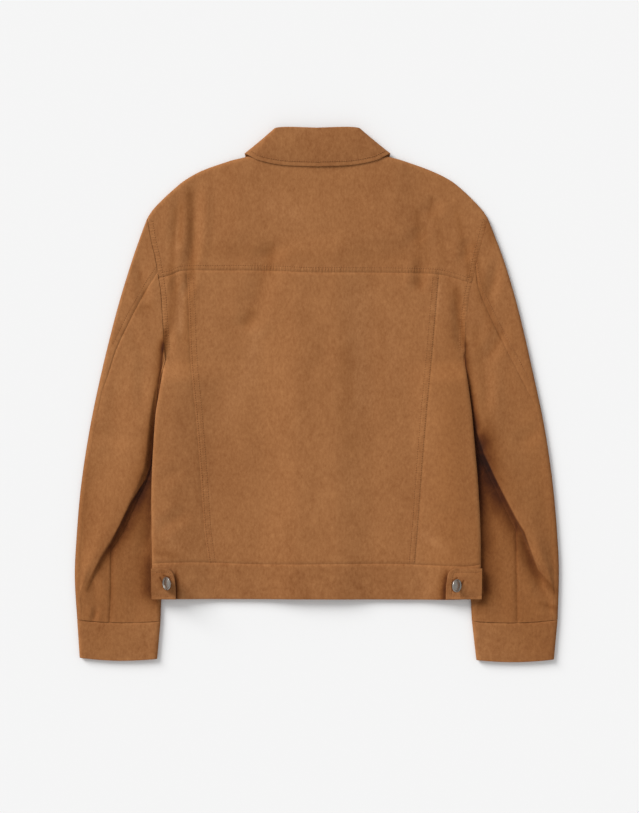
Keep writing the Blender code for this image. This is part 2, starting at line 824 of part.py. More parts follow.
def turned(name, profile, material, around):
    """A round solid turned from half of its outline, on its own axis, in metres."""
    points, faces = [], []
    for radius, height in profile[1:-1]:
        for k in range(around):
            turn = 2.0 * math.pi * k / around
            points.append((radius * math.cos(turn) * MM, radius * math.sin(turn) * MM, height * MM))
    rings = len(profile) - 2
    for i in range(rings - 1):
        for k in range(around):
            n = (k + 1) % around
            faces.append((i * around + k, i * around + n, (i + 1) * around + n, (i + 1) * around + k))
    for profile_end, ring in ((profile[0], 0), (profile[-1], rings - 1)):
        points.append((0.0, 0.0, profile_end[1] * MM))
        hub = len(points) - 1
        for k in range(around):
            n = (k + 1) % around
            corners = (hub, ring * around + n, ring * around + k)
            faces.append(corners if ring == 0 else corners[::-1])
    mesh = bpy.data.meshes.new(name)
    mesh.from_pydata(points, [], faces)
    mesh.update()
    if volume(mesh) < 0.0:
        mesh.flip_normals()
    mesh.materials.append(material)
    piece = bpy.data.objects.new(name, mesh)
    bpy.context.collection.objects.link(piece)
    return piece


def build_buttons(material):
    for hand, name, place, lean in zip((-1, 1), ("left", "right"), BUTTON_AT, BUTTON_LEAN):
        turn = math.radians(lean)
        seat = body_floor(*place) + BODY_THICK + SEAM + DOUBLED
        lowest = BUTTON_RADIUS * math.sin(turn) + SEAM + 0.1
        button = turned("tab_button_" + name, BUTTON_PROFILE, material, around=24)
        button.location = (place[0] * MM, place[1] * MM, (seat + lowest) * MM)
        button.rotation_euler = (0.0, hand * turn, 0.0)
    for number, y in enumerate(FRONT_BUTTON_YS, 1):
        button = turned("front_button_%d" % number, FRONT_PROFILE, material, around=16)
        button.location = (0.0, y * MM, 0.0)


cloth = suede("suede", (0.32, 0.135, 0.048))
silver = suede("antique_silver", (0.30, 0.28, 0.25), roughness=0.35, metallic=1.0)
build_body(cloth)
Sleeve(-1, SLEEVE_LEFT).build("left", cloth)
Sleeve(1, SLEEVE_RIGHT).build("right", cloth)
build_cuff("cuff_left", CUFF_LEFT, cloth)
build_cuff("cuff_right", CUFF_RIGHT, cloth)
build_collar(cloth)
build_tab(-1, "tab_left", cloth)
build_tab(1, "tab_right", cloth)
build_buttons(silver)
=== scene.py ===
# %% [markdown]
# # A suede trucker jacket, laid flat on its front
# The jacket lies with its back up. Every piece of cloth is a thin shell, built in the same frame
# as the plain solids that carry it: +Z is up, +Y runs from the hem to the collar. We begin by
# loading that frame.

# %% Load the frame
import math

import bmesh
import bpy
import numpy as np
from mathutils import Matrix, Vector, noise


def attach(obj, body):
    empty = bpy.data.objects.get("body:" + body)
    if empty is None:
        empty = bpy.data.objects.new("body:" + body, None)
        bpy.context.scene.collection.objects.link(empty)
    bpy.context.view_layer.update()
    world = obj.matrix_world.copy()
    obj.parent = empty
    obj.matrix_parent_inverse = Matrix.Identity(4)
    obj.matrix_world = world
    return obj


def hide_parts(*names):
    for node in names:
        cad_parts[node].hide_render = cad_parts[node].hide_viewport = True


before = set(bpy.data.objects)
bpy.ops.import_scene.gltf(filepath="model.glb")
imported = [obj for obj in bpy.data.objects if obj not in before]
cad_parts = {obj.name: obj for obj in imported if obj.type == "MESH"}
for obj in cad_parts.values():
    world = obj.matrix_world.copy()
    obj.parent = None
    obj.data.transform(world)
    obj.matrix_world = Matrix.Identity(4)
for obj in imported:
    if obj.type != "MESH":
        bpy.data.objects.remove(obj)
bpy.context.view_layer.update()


# %% [markdown]
# ## The jacket's sizes
# A garment is cut from flat shapes, so its sizes are lengths along its seams. They are kept in
# millimetres in short tables, as a maker's size chart is, and MM turns them into Blender's metres.
# Tables were chosen over sculpting because each seam then has exactly one line, which the cloth,
# the groove and the stitches all share.

# %% Sizes of the cloth and how it lies
MM = 0.001
FINE = 2.6             # distance between the points of a visible shell
COARSE = 7.0           # the same on the hidden front
HALF = 0.02            # half the gap between two visible shells, which looks closed
CLOTH = 1.4            # the bonded suede
DOUBLED = 2.2          # collar, cuffs, waistband and tabs, which are sewn double and pressed
SEAM = 0.3             # gap between two pieces at their seam
BODY_THICK = 5.8       # both layers of the body with the air between them
SLEEVE_THICK = 6.2     # the same for a sleeve
CUFF_THICK = 6.2
EDGE_ROUND = 6.5       # how far in a fold's roundness reaches
BODY_LIFT = SLEEVE_THICK + SEAM + 0.2     # the body's sides lie on the sleeves' inner edges
LIFT_FLAT = 18.0       # width of the side that stays lifted
LIFT_REACH = 92.0      # where the front is down on the table again
ARMPIT_Y = 54.0
LIFT_TOP_Y = 50.0      # the side starts to rise below the armpit
LIFT_FULL_Y = 14.0     # and lies on the sleeve from here down
NECK_LIFT = 2.8        # the fronts lie on the collar's points below the neck
NECK_LIFT_Y = (190.0, 232.0)
NECK_LIFT_X = (104.0, 150.0)

WAIST_SEAM_Y = -238.0
LAP_HALF = 19.0        # half the width of the front's button stand
BUTTON_HEAD = 2.4      # height of a front button's head under the button stand
CENTRE_RISE = 4.9      # how much the closed front lifts the middle of the back

print("cloth", CLOTH, "mm, doubled pieces", DOUBLED, "mm, points", FINE, "mm apart")

# %% [markdown]
# The body is drawn first, as its two sides, its upper edge and the lines of its seams. Each table
# has one row for each point that a maker would mark, and says above it what its columns are.

# %% Outlines and seams of the body
# The body's two sides: armholes above the armpit, folded side seams below it.
SIDES = (
    # y,     left,   right
    (247.0, -238.0, 240.0),
    (217.0, -233.0, 232.0),
    (194.0, -227.6, 226.0),
    (164.0, -222.3, 219.5),
    (146.0, -219.5, 215.0),
    (110.0, -217.0, 209.5),
    (76.0, -214.8, 207.5),
    (54.0, -213.2, 207.5),
    (27.0, -216.7, 210.3),
    (0.0, -221.2, 213.9),
    (-26.0, -225.5, 217.3),
    (-61.0, -228.2, 220.4),
    (-124.0, -231.3, 225.7),
    (-190.0, -231.3, 229.2),
    (-236.0, -230.4, 229.8),
    (-287.0, -229.3, 229.2),
)

# Upper edge of the body, from one shoulder point over the neck to the other.
# fold is 1 on the shoulders, where the cloth rolls over to the front, and 0 along the neck seam.
TOP_EDGE = (
    # x,      y,     fold
    (-238.0, 247.0, 1.0),
    (-231.0, 258.0, 1.0),
    (-218.0, 272.0, 1.0),
    (-203.0, 286.0, 1.0),
    (-186.0, 300.0, 1.0),
    (-161.0, 314.0, 1.0),
    (-122.0, 327.5, 1.0),
    (-106.0, 331.4, 1.0),
    (-97.0, 333.4, 1.0),
    (-88.0, 333.6, 1.0),
    (-78.0, 333.4, 0.0),
    (-42.0, 331.0, 0.0),
    (0.0, 330.0, 0.0),
    (42.0, 331.0, 0.0),
    (79.0, 333.4, 0.0),
    (90.0, 333.6, 1.0),
    (99.0, 333.4, 1.0),
    (108.0, 331.4, 1.0),
    (122.0, 327.5, 1.0),
    (160.0, 314.0, 1.0),
    (188.0, 300.0, 1.0),
    (205.4, 286.0, 1.0),
    (220.0, 272.0, 1.0),
    (232.7, 258.0, 1.0),
    (240.0, 247.0, 1.0),
)

# The seam under the back yoke drops towards both armholes.
YOKE_SEAM = (
    # x,      y
    (-222.3, 163.7),
    (-208.0, 166.5),
    (-190.0, 173.3),
    (-150.0, 174.0),
    (-65.0, 173.5),
    (-11.0, 171.0),
    (76.0, 171.0),
    (147.0, 170.0),
    (174.0, 168.0),
    (192.0, 163.5),
    (218.0, 155.5),
)

# The two long seams of the back, from the yoke to the waistband.
LONG_SEAMS = (
    # y,     left,   right
    (174.0, -183.0, 172.0),
    (128.0, -180.3, 168.3),
    (54.0, -177.5, 162.0),
    (-26.0, -170.2, 154.6),
    (-115.0, -163.1, 147.4),
    (-190.0, -157.8, 142.0),
    (-237.0, -151.5, 137.8),
)

# The waistband's upper seam and the hem.
WAIST_SEAM = (
    # x,      y
    (-230.4, -236.7),
    (-202.0, -235.3),
    (-154.0, -235.5),
    (-81.0, -238.0),
    (102.0, -237.4),
    (174.0, -239.8),
    (209.6, -240.7),
    (229.8, -238.0),
)

HEM_EDGE = (
    # x,      y
    (-229.3, -282.5),
    (-216.0, -284.6),
    (-195.0, -286.5),
    (0.0, -287.0),
    (180.0, -287.6),
    (213.0, -286.3),
    (229.3, -284.0),
)

# The front neckline, from the centre of the front to the neck point on the shoulder.
FRONT_NECK = (
    # x,     y
    (0.0, 261.0),
    (20.0, 264.0),
    (48.0, 281.0),
    (63.0, 299.0),
    (73.0, 317.0),
    (80.0, 332.0),
)

print("body tables:", len(SIDES), "rows of sides,", len(TOP_EDGE), "of the upper edge")

# %% [markdown]
# A sleeve is drawn in sections from its armhole to its cuff, by where its two folded edges lie.
# Three lines cross the sections: the back seam, the forearm seam and the fold at the elbow.

# %% Outlines, seams and folds of the sleeves
# The sleeves' folded edges, in sections from the armhole to the cuff.
SLEEVE_LEFT = (
    # outer x, outer y, inner x, inner y
    (-238.0, 247.0, -213.2, 54.0),
    (-247.0, 223.2, -212.2, 45.0),
    (-261.5, 181.2, -214.0, 32.0),
    (-280.4, 118.2, -217.0, 14.0),
    (-301.4, 34.2, -217.0, -30.0),
    (-318.9, -49.8, -217.5, -92.0),
    (-331.5, -133.8, -218.5, -160.0),
    (-338.3, -217.8, -218.0, -228.0),
    (-339.5, -262.0, -217.8, -268.0),
    (-336.3, -315.6, -219.3, -317.6),
)

SLEEVE_RIGHT = (
    # outer x, outer y, inner x, inner y
    (240.0, 247.0, 207.5, 54.0),
    (249.5, 223.2, 206.4, 45.0),
    (264.9, 181.2, 206.8, 32.0),
    (283.1, 118.2, 208.8, 14.0),
    (302.7, 34.2, 208.0, -30.0),
    (320.2, -49.8, 211.0, -92.0),
    (332.1, -133.8, 214.0, -160.0),
    (338.8, -217.8, 215.3, -228.0),
    (339.7, -262.0, 215.2, -268.0),
    (338.0, -315.8, 217.6, -317.8),
)

# Lines on the sleeves, as x at y on the left and on the right.
BACK_SEAMS = (
    # y,     left,   right
    (171.0, -223.3, 223.0),
    (146.2, -239.1, 227.5),
    (107.0, -260.1, 244.0),
    (62.2, -281.1, 266.0),
    (27.2, -292.3, 284.0),
    (-14.8, -307.7, 305.5),
    (-38.6, -316.0, 316.7),
    (-70.0, -326.0, 326.0),
)

ELBOW_FOLDS = (
    # y,      left,   right
    (52.4, -214.5, 209.6),
    (15.1, -223.7, 213.6),
    (-7.8, -228.2, 217.2),
    (-34.4, -231.8, 222.2),
    (-61.0, -234.2, 227.6),
    (-98.8, -238.6, 241.8),
    (-120.5, -245.3, 252.4),
    (-154.4, -261.2, 269.0),
    (-189.8, -277.3, 286.0),
    (-223.4, -297.9, 300.9),
    (-247.2, -309.5, 313.0),
    (-290.0, -328.0, 327.0),
)

FOREARM_SEAMS = (
    # y,      left,   right
    (-100.0, -287.0, 277.0),
    (-177.2, -288.0, 278.3),
    (-219.2, -288.2, 279.3),
    (-272.4, -288.6, 280.1),
    (-318.6, -290.5, 281.1),
)

# The drop from the elbow fold's crest to the forearm under it.
FOLD_SHAPE = (
    # across, height left
    (-9.0, 1.0),
    (-5.0, 0.99),
    (-2.6, 0.93),
    (-0.9, 0.75),
    (0.0, 0.48),
    (0.9, 0.22),
    (2.6, 0.06),
    (5.0, 0.0),
)
FOLD_HEIGHT = 5.0      # of the elbow fold's crest
FOLD_SWELL = 65.0      # the crest rises over this width
FOLD_START = (3.0, 4.6)     # sections between which the fold opens
FOLD_END = (7.0, 8.6)       # and between which it lies down again
ARMHOLE_BOW_END = 3.0       # sections below this one are straight
CUFF_SAG = 3.2         # how far the cuff's seam bows down between its ends

# The cuffs' lower corners.
CUFF_LEFT = ((-336.3, -315.6, -219.3, -317.6), (-332.8, -369.5, -224.0, -371.0))
CUFF_RIGHT = ((338.0, -315.8, 217.6, -317.8), (332.8, -371.8, 223.9, -372.7))

print("sleeve tables:", len(SLEEVE_LEFT), "sections on the left,", len(SLEEVE_RIGHT), "on the right")

# %% [markdown]
# The collar is drawn in sections too, from the middle of the back round to its point. The tabs
# need only the line of their inner end, and each button one place and how far it leans.

# %% The collar, the tabs and the buttons' places
# The collar in sections from the middle of the back round one side to the front. Its left half
# is given; the right one mirrors it, a little wider. Height is the middle between stand and fall,
# and the turn is the way its outer side faces: 0 up, 90 out to the side, 180 down.
COLLAR = (
    # neck x, y,    roll x,  y,     edge x,  y,     height, turn
    (0.0, 331.0, 0.0, 375.2, 0.0, 319.2, 9.3, 0.0),
    (-42.0, 332.2, -37.0, 376.3, -48.0, 321.3, 9.3, 0.0),
    (-66.0, 334.4, -52.0, 375.6, -80.0, 327.6, 9.3, 8.0),
    (-73.0, 336.4, -55.0, 374.0, -93.0, 333.6, 8.6, 42.0),
    (-76.0, 337.6, -57.3, 371.0, -99.2, 336.2, 5.75, 90.0),
    (-75.5, 335.5, -56.5, 366.0, -99.8, 334.4, 2.9, 138.0),
    (-72.5, 327.0, -54.0, 355.0, -97.0, 323.0, 2.4, 174.0),
    (-46.2, 284.0, -35.0, 308.0, -74.0, 250.0, 2.4, 180.0),
    (-12.0, 265.4, -10.0, 290.0, -24.0, 236.0, 2.4, 180.0),
)
COLLAR_PLY_GAP = 0.4   # between stand and fall
COLLAR_RIGHT = 1.02    # the right half's width next to the left one's

# Free ends of the waist tabs, as x at y.
TAB_ENDS = (
    # y,      left,   right
    (-286.5, -197.0, 181.0),
    (-270.0, -197.4, 181.0),
    (-259.0, -198.6, 182.2),
    (-252.0, -200.4, 183.6),
    (-247.5, -202.6, 186.2),
    (-243.5, -206.5, 192.0),
)
TAB_OVERHANG = 1.4     # the tabs stick out past the folded side

BUTTON_RADIUS = 8.9
BUTTON_AT = ((-209.4, -263.6), (195.4, -266.7))
BUTTON_LEAN = (52.0, 46.0)          # the shanks let the tab buttons lean outward, in degrees
FRONT_BUTTON_YS = (205.0, 118.0, 31.0, -56.0, -143.0, -218.0, -262.0)
print("collar:", len(COLLAR), "sections on each side")

# %% [markdown]
# ## Reading a table along a smooth line
# A tailor joins the marked points of a pattern with a curved ruler. Here a cubic curve does the
# same between the rows of a table. It works on whole NumPy arrays at once, because a shell has
# tens of thousands of points and a Python loop over them would take minutes.

# %% Smooth steps and smooth curves
def smooth(x, start, end):
    """0 before start, 1 past end, an even S between them."""
    t = np.clip((np.asarray(x, float) - start) / (end - start), 0.0, 1.0)
    return t * t * (3.0 - 2.0 * t)


def along(table, x, column=1):
    """The values in a column of a table at x in its first column, by a smooth curve."""
    rows = table if table[0][0] < table[-1][0] else table[::-1]
    keys = np.array([row[0] for row in rows])
    values = np.array([row[column] for row in rows])
    slopes = np.empty(len(keys))
    slopes[1:-1] = (values[2:] - values[:-2]) / (keys[2:] - keys[:-2])
    slopes[0] = (values[1] - values[0]) / (keys[1] - keys[0])
    slopes[-1] = (values[-1] - values[-2]) / (keys[-1] - keys[-2])
    x = np.clip(x, keys[0], keys[-1])
    i = np.clip(np.searchsorted(keys, x) - 1, 0, len(keys) - 2)
    h = keys[i + 1] - keys[i]
    t = (x - keys[i]) / h
    return ((2 * t**3 - 3 * t**2 + 1) * values[i] + (t**3 - 2 * t**2 + t) * h * slopes[i]
            + (3 * t**2 - 2 * t**3) * values[i + 1] + (t**3 - t**2) * h * slopes[i + 1])


def side_x(hand, y):
    """The body's side at height y; hand is -1 on the left and 1 on the right."""
    return along(SIDES, y, 1 if hand < 0 else 2)


def body_floor(x, y):
    """Height of the body's lower face: its sides lie on the sleeves, its middle on the table."""
    inward = np.minimum(x - side_x(-1, y), side_x(1, y) - x)
    across = 1.0 - smooth(inward, LIFT_FLAT, LIFT_REACH)
    side_lift = BODY_LIFT * across * (1.0 - smooth(y, LIFT_FULL_Y, LIFT_TOP_Y))
    return side_lift + NECK_LIFT * smooth(y, *NECK_LIFT_Y) * (1.0 - smooth(abs(x), *NECK_LIFT_X))


print("shoulders", side_x(1, 247.0) - side_x(-1, 247.0), "mm")

# %% [markdown]
# ## Creases and the cloth's unevenness
# Suede that has been folded and carried keeps soft troughs, deepest near the armholes and the
# long seams. Each is listed as a short line with a width and a depth. A slow noise gives
# the rest of the cloth its faint waves. A simulation was not used: it would move the seams away
# from their lines, and the creases of a pressed jacket are few and known.

# %% The creases of the body
BACK_CREASES = (
    # x1,    y1,    x2,    y2,    width, depth
    (-173.0, 292.0, -172.0, 236.0, 9.0, 1.5),
    (-172.0, 240.0, -177.0, 176.0, 8.0, 1.7),
    (-178.0, 168.0, -184.0, 140.0, 7.0, 1.1),
    (-193.5, 276.0, -196.5, 214.0, 8.0, 1.0),
    (-197.0, 168.0, -199.0, 142.0, 6.0, 0.8),
    (-60.0, 210.0, -66.0, 190.0, 12.0, 0.9),
    (-68.0, 188.0, -92.0, 108.0, 15.0, 0.8),
    (-92.0, 112.0, -101.0, 92.0, 11.0, 0.9),
    (144.5, 184.0, 145.0, 148.0, 9.0, 1.4),
    (140.0, 232.0, 142.0, 214.0, 10.0, 0.7),
    (164.0, 276.0, 160.0, 252.0, 11.0, 0.8),
    (207.0, 214.0, 212.0, 190.0, 8.0, 1.1),
    (196.0, 132.0, 206.0, 62.0, 6.5, 1.5),
    (188.0, 120.0, 199.0, 66.0, 8.0, 0.8),
    (-209.0, 92.0, -208.0, 54.0, 6.0, 1.3),
    (-200.0, 80.0, -203.0, 40.0, 8.0, 0.6),
    (-221.0, -191.0, -186.0, -165.0, 9.0, 0.7),
    (-214.0, -120.0, -190.0, -104.0, 10.0, 0.5),
    (206.0, -182.0, 178.0, -158.0, 10.0, 0.6),
    (8.0, 90.0, 16.0, 40.0, 16.0, 0.5),
    (40.0, -60.0, 62.0, -128.0, 18.0, 0.4),
    (-60.0, -90.0, -44.0, -160.0, 18.0, 0.4),
)

FRONT_CREASES = (
    # x1,    y1,    x2,    y2,    width, depth
    (-190.0, 190.0, -120.0, 120.0, 12.0, 0.7),
    (186.0, 196.0, 130.0, 118.0, 12.0, 0.7),
    (-160.0, -60.0, -90.0, -90.0, 14.0, 0.5),
    (150.0, -40.0, 84.0, -78.0, 14.0, 0.5),
)

SLEEVE_CREASES = (
    # x1,    y1,    x2,    y2,    width, depth
    (-250.0, 178.0, -240.0, 126.0, 8.0, 0.9),
    (-262.0, 88.0, -238.0, 40.0, 9.0, 0.7),
    (-246.0, 30.0, -242.0, -20.0, 9.0, 0.8),
    (-318.0, -46.0, -270.0, -66.0, 10.0, 0.6),
    (-322.0, -250.0, -306.0, -282.0, 7.0, 1.1),
    (-311.0, -300.0, -311.5, -317.0, 4.0, 1.2),
    (-262.0, -262.0, -250.0, -316.0, 10.0, 0.5),
    (-236.0, -180.0, -246.0, -236.0, 10.0, 0.7),
    (252.0, 186.0, 243.0, 132.0, 8.0, 0.9),
    (262.0, 96.0, 240.0, 46.0, 9.0, 0.8),
    (236.0, 34.0, 240.0, -22.0, 8.0, 0.8),
    (322.0, -40.0, 282.0, -70.0, 10.0, 0.6),
    (290.0, -202.0, 304.0, -247.0, 8.0, 1.6),
    (304.0, -245.0, 317.0, -278.0, 8.0, 1.6),
    (317.0, -278.0, 333.0, -304.0, 8.0, 1.2),
    (252.0, -250.0, 262.0, -314.0, 10.0, 0.5),
    (238.0, -150.0, 246.0, -214.0, 10.0, 0.6),
)


def crease_depth(x, y, creases):
    """How far the creases press the cloth down at a place, in millimetres."""
    depth = np.zeros(np.shape(x))
    for x1, y1, x2, y2, width, deep in creases:
        dx, dy = x2 - x1, y2 - y1
        length = math.hypot(dx, dy)
        t = ((x - x1) * dx + (y - y1) * dy) / (length * length)
        aside = ((x - x1) * dy - (y - y1) * dx) / length + 0.12 * width * np.sin(5.0 * t)
        ends = smooth(t, -0.28, 0.3) * (1.0 - smooth(t, 0.7, 1.28))
        trough = np.exp(-((aside / width) ** 2))
        ridge = np.exp(-(((abs(aside) - 1.9 * width) / (0.9 * width)) ** 2))
        depth += 1.5 * deep * ends * (trough - 0.34 * ridge)
    return depth


def waves(x, y, length, seed):
    """A slow, even noise between about -1 and 1, with waves of the given length."""
    flat = [noise.noise(Vector((a / length, b / length, seed)))
            for a, b in zip(np.ravel(x), np.ravel(y))]
    return np.reshape(flat, np.shape(x))


print(len(BACK_CREASES) + len(SLEEVE_CREASES) + len(FRONT_CREASES), "creases placed by hand")

# %% [markdown]
# ## Painted shade on the nap
# Where a fold, a crease, a seam or a button shades the cloth, its nap is painted darker, and the
# ridges of creases get a painted highlight; a few marks are darker and lighter patches of nap. The
# marks are given one by one along the folds, the armpits and the yoke. A darkness of 1 about halves
# the cloth's colour, a negative one lifts it. The painted shadow under a fold is darkest right at
# the fold's edge and fades away from it, so those shadows are lines with a side: +1 lies to the
# right of the line's way, -1 to its left. The sleeves' folded rims get a little painted shade all
# round, where the low lamp would light them brightly.

# %% Marks of painted shade in the nap
NAP_AND_PAINTED_SHADE_MARKS = (
    # x1,    y1,    x2,    y2,    width, darkness
    # the right side panel, a little darker all over: painted shade where the light falls away to the
    # right
    (195.0, 30.0, 195.0, -215.0, 36.0, 0.3),
    # painted shade in the tabs' buttonholes, and the painted shadow where each button stands over the
    # cloth
    (-219.1, -255.5, -215.6, -263.3, 1.2, 1.8),
    (-214.3, -252.8, -206.4, -255.5, 1.0, 1.6), (-206.4, -255.5, -204.7, -262.5, 1.0, 2.2),
    (-204.7, -262.5, -205.5, -270.3, 1.0, 2.2), (-205.5, -270.3, -209.9, -273.0, 1.0, 1.8),
    (201.6, -266.8, 205.0, -260.0, 1.2, 1.8),
    (196.1, -256.3, 190.8, -259.8, 1.0, 1.6), (190.8, -259.8, 188.7, -266.8, 1.0, 2.2),
    (188.7, -266.8, 190.0, -273.8, 1.0, 2.2), (190.0, -273.8, 193.9, -276.5, 1.0, 1.8),
    # the back and the sleeves: painted shade in creases and seams, painted highlight (negative) on
    # ridges, a few darker and lighter nap patches
    (140.3, 255.4, 144.5, 205.0, 4.5, 0.34),
    (161.3, 275.0, 158.5, 249.8, 3.9, 0.26),
    (196.3, 252.6, 204.7, 213.4, 4.2, 0.3),
    (208.9, 206.4, 214.5, 165.8, 4.2, 0.4),
    (150.1, 235.8, 155.7, 185.4, 4.2, 0.2),
    (-178.9, 279.2, -174.7, 188.2, 5.8, 0.44),
    (-174.7, 195.2, -177.5, 164.4, 5.8, 0.5),
    (-176.1, 153.2, -181.7, 76.2, 8.4, 0.25),
    (-183.1, 90.2, -180.3, 41.2, 11.2, 0.15),
    (-190.1, 265.2, -192.9, 216.2, 4.2, 0.32),
    (-197.1, 258.2, -202.7, 188.2, 4.2, 0.3),
    (-204.1, 181.2, -201.3, 132.2, 4.9, 0.4),
    (-201.3, 132.2, -208.3, 90.2, 5.6, 0.4),
    (-211.1, 87.4, -215.3, 62.2, 4.2, 1.0),
    (-64.1, 202.2, -66.9, 177.0, 8.4, 0.33),
    (-76.7, 167.2, -82.3, 132.2, 8.4, 0.12),
    (-90.7, 115.4, -97.7, 101.4, 7.7, 0.33),
    (-170.5, 202.2, -76.7, 199.4, 12.6, 0.12),
    (-58.5, 195.2, 116.5, 191.0, 14.0, 0.07),
    (141.7, 195.2, 141.7, 174.2, 8.4, 0.3),
    (141.7, 161.6, 143.1, 153.2, 6.3, 0.4),
    (140.3, 251.2, 138.9, 209.2, 5.6, 0.22),
    (159.9, 275.0, 164.1, 251.2, 6.3, 0.12),
    (166.9, 251.2, 179.5, 185.4, 5.6, 0.18),
    (201.9, 230.2, 208.9, 195.2, 7.7, 0.22),
    (192.1, 265.2, 200.5, 223.2, 7.0, 0.15),
    (194.9, 146.2, 200.5, 104.2, 6.3, 0.5),
    (200.5, 104.2, 206.1, 69.2, 4.9, 0.75),
    (186.5, 153.2, 194.9, 76.2, 7.0, 0.15),
    (38.1, 62.2, 43.7, -7.8, 9.8, 0.12),
    (36.7, -14.8, 38.1, -49.8, 8.4, 0.08),
    (46.5, -63.8, 49.3, -73.6, 11.2, 0.1),
    (60.5, 132.2, 67.5, -7.8, 22.4, -0.12),
    (-85.1, 83.2, -97.7, 20.2, 11.2, -0.13),
    (-107.5, 13.2, -128.5, -35.8, 15.4, -0.08),
    (102.5, 104.2, 109.5, 20.2, 16.8, -0.08),
    (-62.7, 265.2, -34.7, 251.2, 19.6, -0.12),
    (171.1, 153.2, 168.3, 118.2, 4.2, -0.2),
    (-23.5, 370.2, -1.1, 367.4, 12.6, -0.12),
    (151.5, -196.8, 179.5, -217.8, 8.4, -0.2),
    (-187.3, 153.2, -191.5, 90.2, 4.9, -0.25),
    (-194.3, 251.2, -197.1, 202.2, 3.5, -0.2),
    (-197.1, 153.2, -201.3, 111.2, 3.5, 0.35),
    (214.5, -119.8, 224.3, -231.8, 7.0, 0.3),
    (189.3, -215.0, 220.1, -175.8, 9.8, 0.15),
    (-219.5, -175.8, -198.5, -210.8, 8.4, -0.12),
    (-225.1, -220.6, -199.9, -226.2, 5.6, 0.3),
    (-240.5, -238.8, -233.5, -276.6, 11.2, 0.3),
    (-324.5, -105.8, -328.7, -231.8, 12.6, 0.15),
    (-250.3, 119.6, -233.5, 123.8, 5.6, 0.3),
    (220.1, 209.2, 231.3, 132.2, 7.0, 0.3),
    (228.5, 160.2, 246.7, 97.2, 8.4, 0.3),
    (221.5, 90.2, 235.5, -7.8, 8.4, 0.2),
    (231.3, -7.8, 245.3, -49.8, 8.4, 0.2),
    (312.5, -119.8, 323.7, -203.8, 12.6, 0.2),
    (284.5, 90.2, 319.5, -35.8, 8.4, 0.15),
    (304.1, -240.2, 334.9, -273.8, 8.4, 0.35),
    (238.3, 237.2, 245.3, 216.2, 5.6, 0.35),
    (312.5, -292.0, 334.9, -300.4, 4.2, 0.5),
    (284.5, -287.8, 319.5, -296.2, 7.0, 0.2),
    (-317.5, -290.6, -295.1, -290.6, 7.0, 0.2),
    (-310.5, -287.8, -314.7, -266.8, 5.6, 0.2),
    (-215.3, -248.6, -218.1, -268.2, 4.9, 0.5),
    (185.1, -259.8, 182.3, -276.6, 4.2, 0.25),
    (-303.5, -240.2, -320.3, -273.8, 4.9, 0.35),
    (-295.1, -226.2, -317.5, -265.4, 4.2, -0.15),
    (-233.5, -49.8, -247.5, -147.8, 14.0, 0.1),
    (-292.3, 76.2, -278.3, 90.2, 7.0, 0.1),
    # painted shade in the forearm seams' grooves, then broad painted shade over the right side, the
    # lower sleeves, the cuffs and the collar
    (279.2, -181.4, 280.0, -315.8, 2.1, 0.75),
    (-288.4, -216.4, -289.0, -313.0, 2.1, 0.6),
    (305.5, 20.2, 334.9, -231.8, 36.4, 0.2),
    (277.5, 90.2, 298.5, -147.8, 30.8, 0.12),
    (242.5, -231.8, 319.5, -357.8, 42.0, 0.3),
    (-275.5, -245.8, -303.5, -343.8, 42.0, 0.2),
    (193.5, 90.2, 211.7, -203.8, 19.6, 0.25),
    (-275.5, -343.8, -303.5, -371.8, 30.8, 0.12),
    (-23.5, 356.2, 18.5, 342.2, 56.0, 0.05),
    (172.5, 300.2, 214.5, 202.2, 30.8, 0.07),
)

# Painted shadows that the body's lifted sides and the elbow folds cast on the sleeves.
SLEEVE_SHADOWS = (
    # side, then x, y, reach and darkness along the edge
    (1, (  # left armpit to the elbow, beside the body
        (-214.6, 69.2, 4.7, 2.33), (-221.6, -0.8, 4.7, 2.17), (-229.3, -63.8, 6.3, 2.48),
        (-231.3, -98.8, 7.8, 3.1), (-232.8, -119.8, 7.8, 2.33),
    )),
    (-1, (  # under the left elbow's fold
        (-231.3, -94.6, 4.7, 3.1), (-240.5, -119.8, 15.7, 4.03), (-260.1, -151.3, 17.2, 3.56),
        (-275.5, -182.8, 14.9, 3.1), (-288.1, -207.3, 11.0, 2.17), (-303.5, -231.8, 7.8, 1.24),
        (-325.9, -271.0, 4.7, 0.23),
    )),
    (1, (  # below it, beside the body
        (-232.1, -117.0, 12.5, 2.33), (-232.8, -175.8, 17.2, 1.4), (-232.8, -217.8, 12.5, 0.93),
        (-232.8, -240.2, 12.5, 1.55), (-232.8, -273.8, 14.1, 1.55), (-223.7, -289.2, 7.8, 1.08),
    )),
    (-1, (  # right armpit to the elbow, beside the body
        (205.4, 69.2, 3.9, 2.33), (210.3, 20.2, 3.9, 2.33), (215.9, -14.8, 4.7, 3.1),
        (220.1, -49.8, 6.3, 4.03),
    )),
    (1, (  # under the right elbow's fold
        (220.8, -44.2, 11.0, 4.34), (234.1, -83.4, 28.2, 5.27), (250.9, -119.8, 31.4, 4.03),
        (264.9, -147.8, 29.8, 2.79), (278.9, -174.4, 20.4, 2.02), (290.1, -192.6, 17.2, 1.71),
        (299.9, -220.6, 15.7, 1.55), (309.7, -245.8, 12.5, 1.08), (334.9, -273.8, 7.8, 0.39),
    )),
    (-1, (  # below it, beside the body
        (224.3, -70.8, 14.1, 4.96), (225.7, -128.2, 18.8, 3.72), (228.5, -175.8, 17.2, 2.02),
        (229.9, -237.4, 15.7, 1.55), (234.1, -273.8, 9.4, 1.86), (228.5, -287.8, 7.8, 1.4),
    )),
)

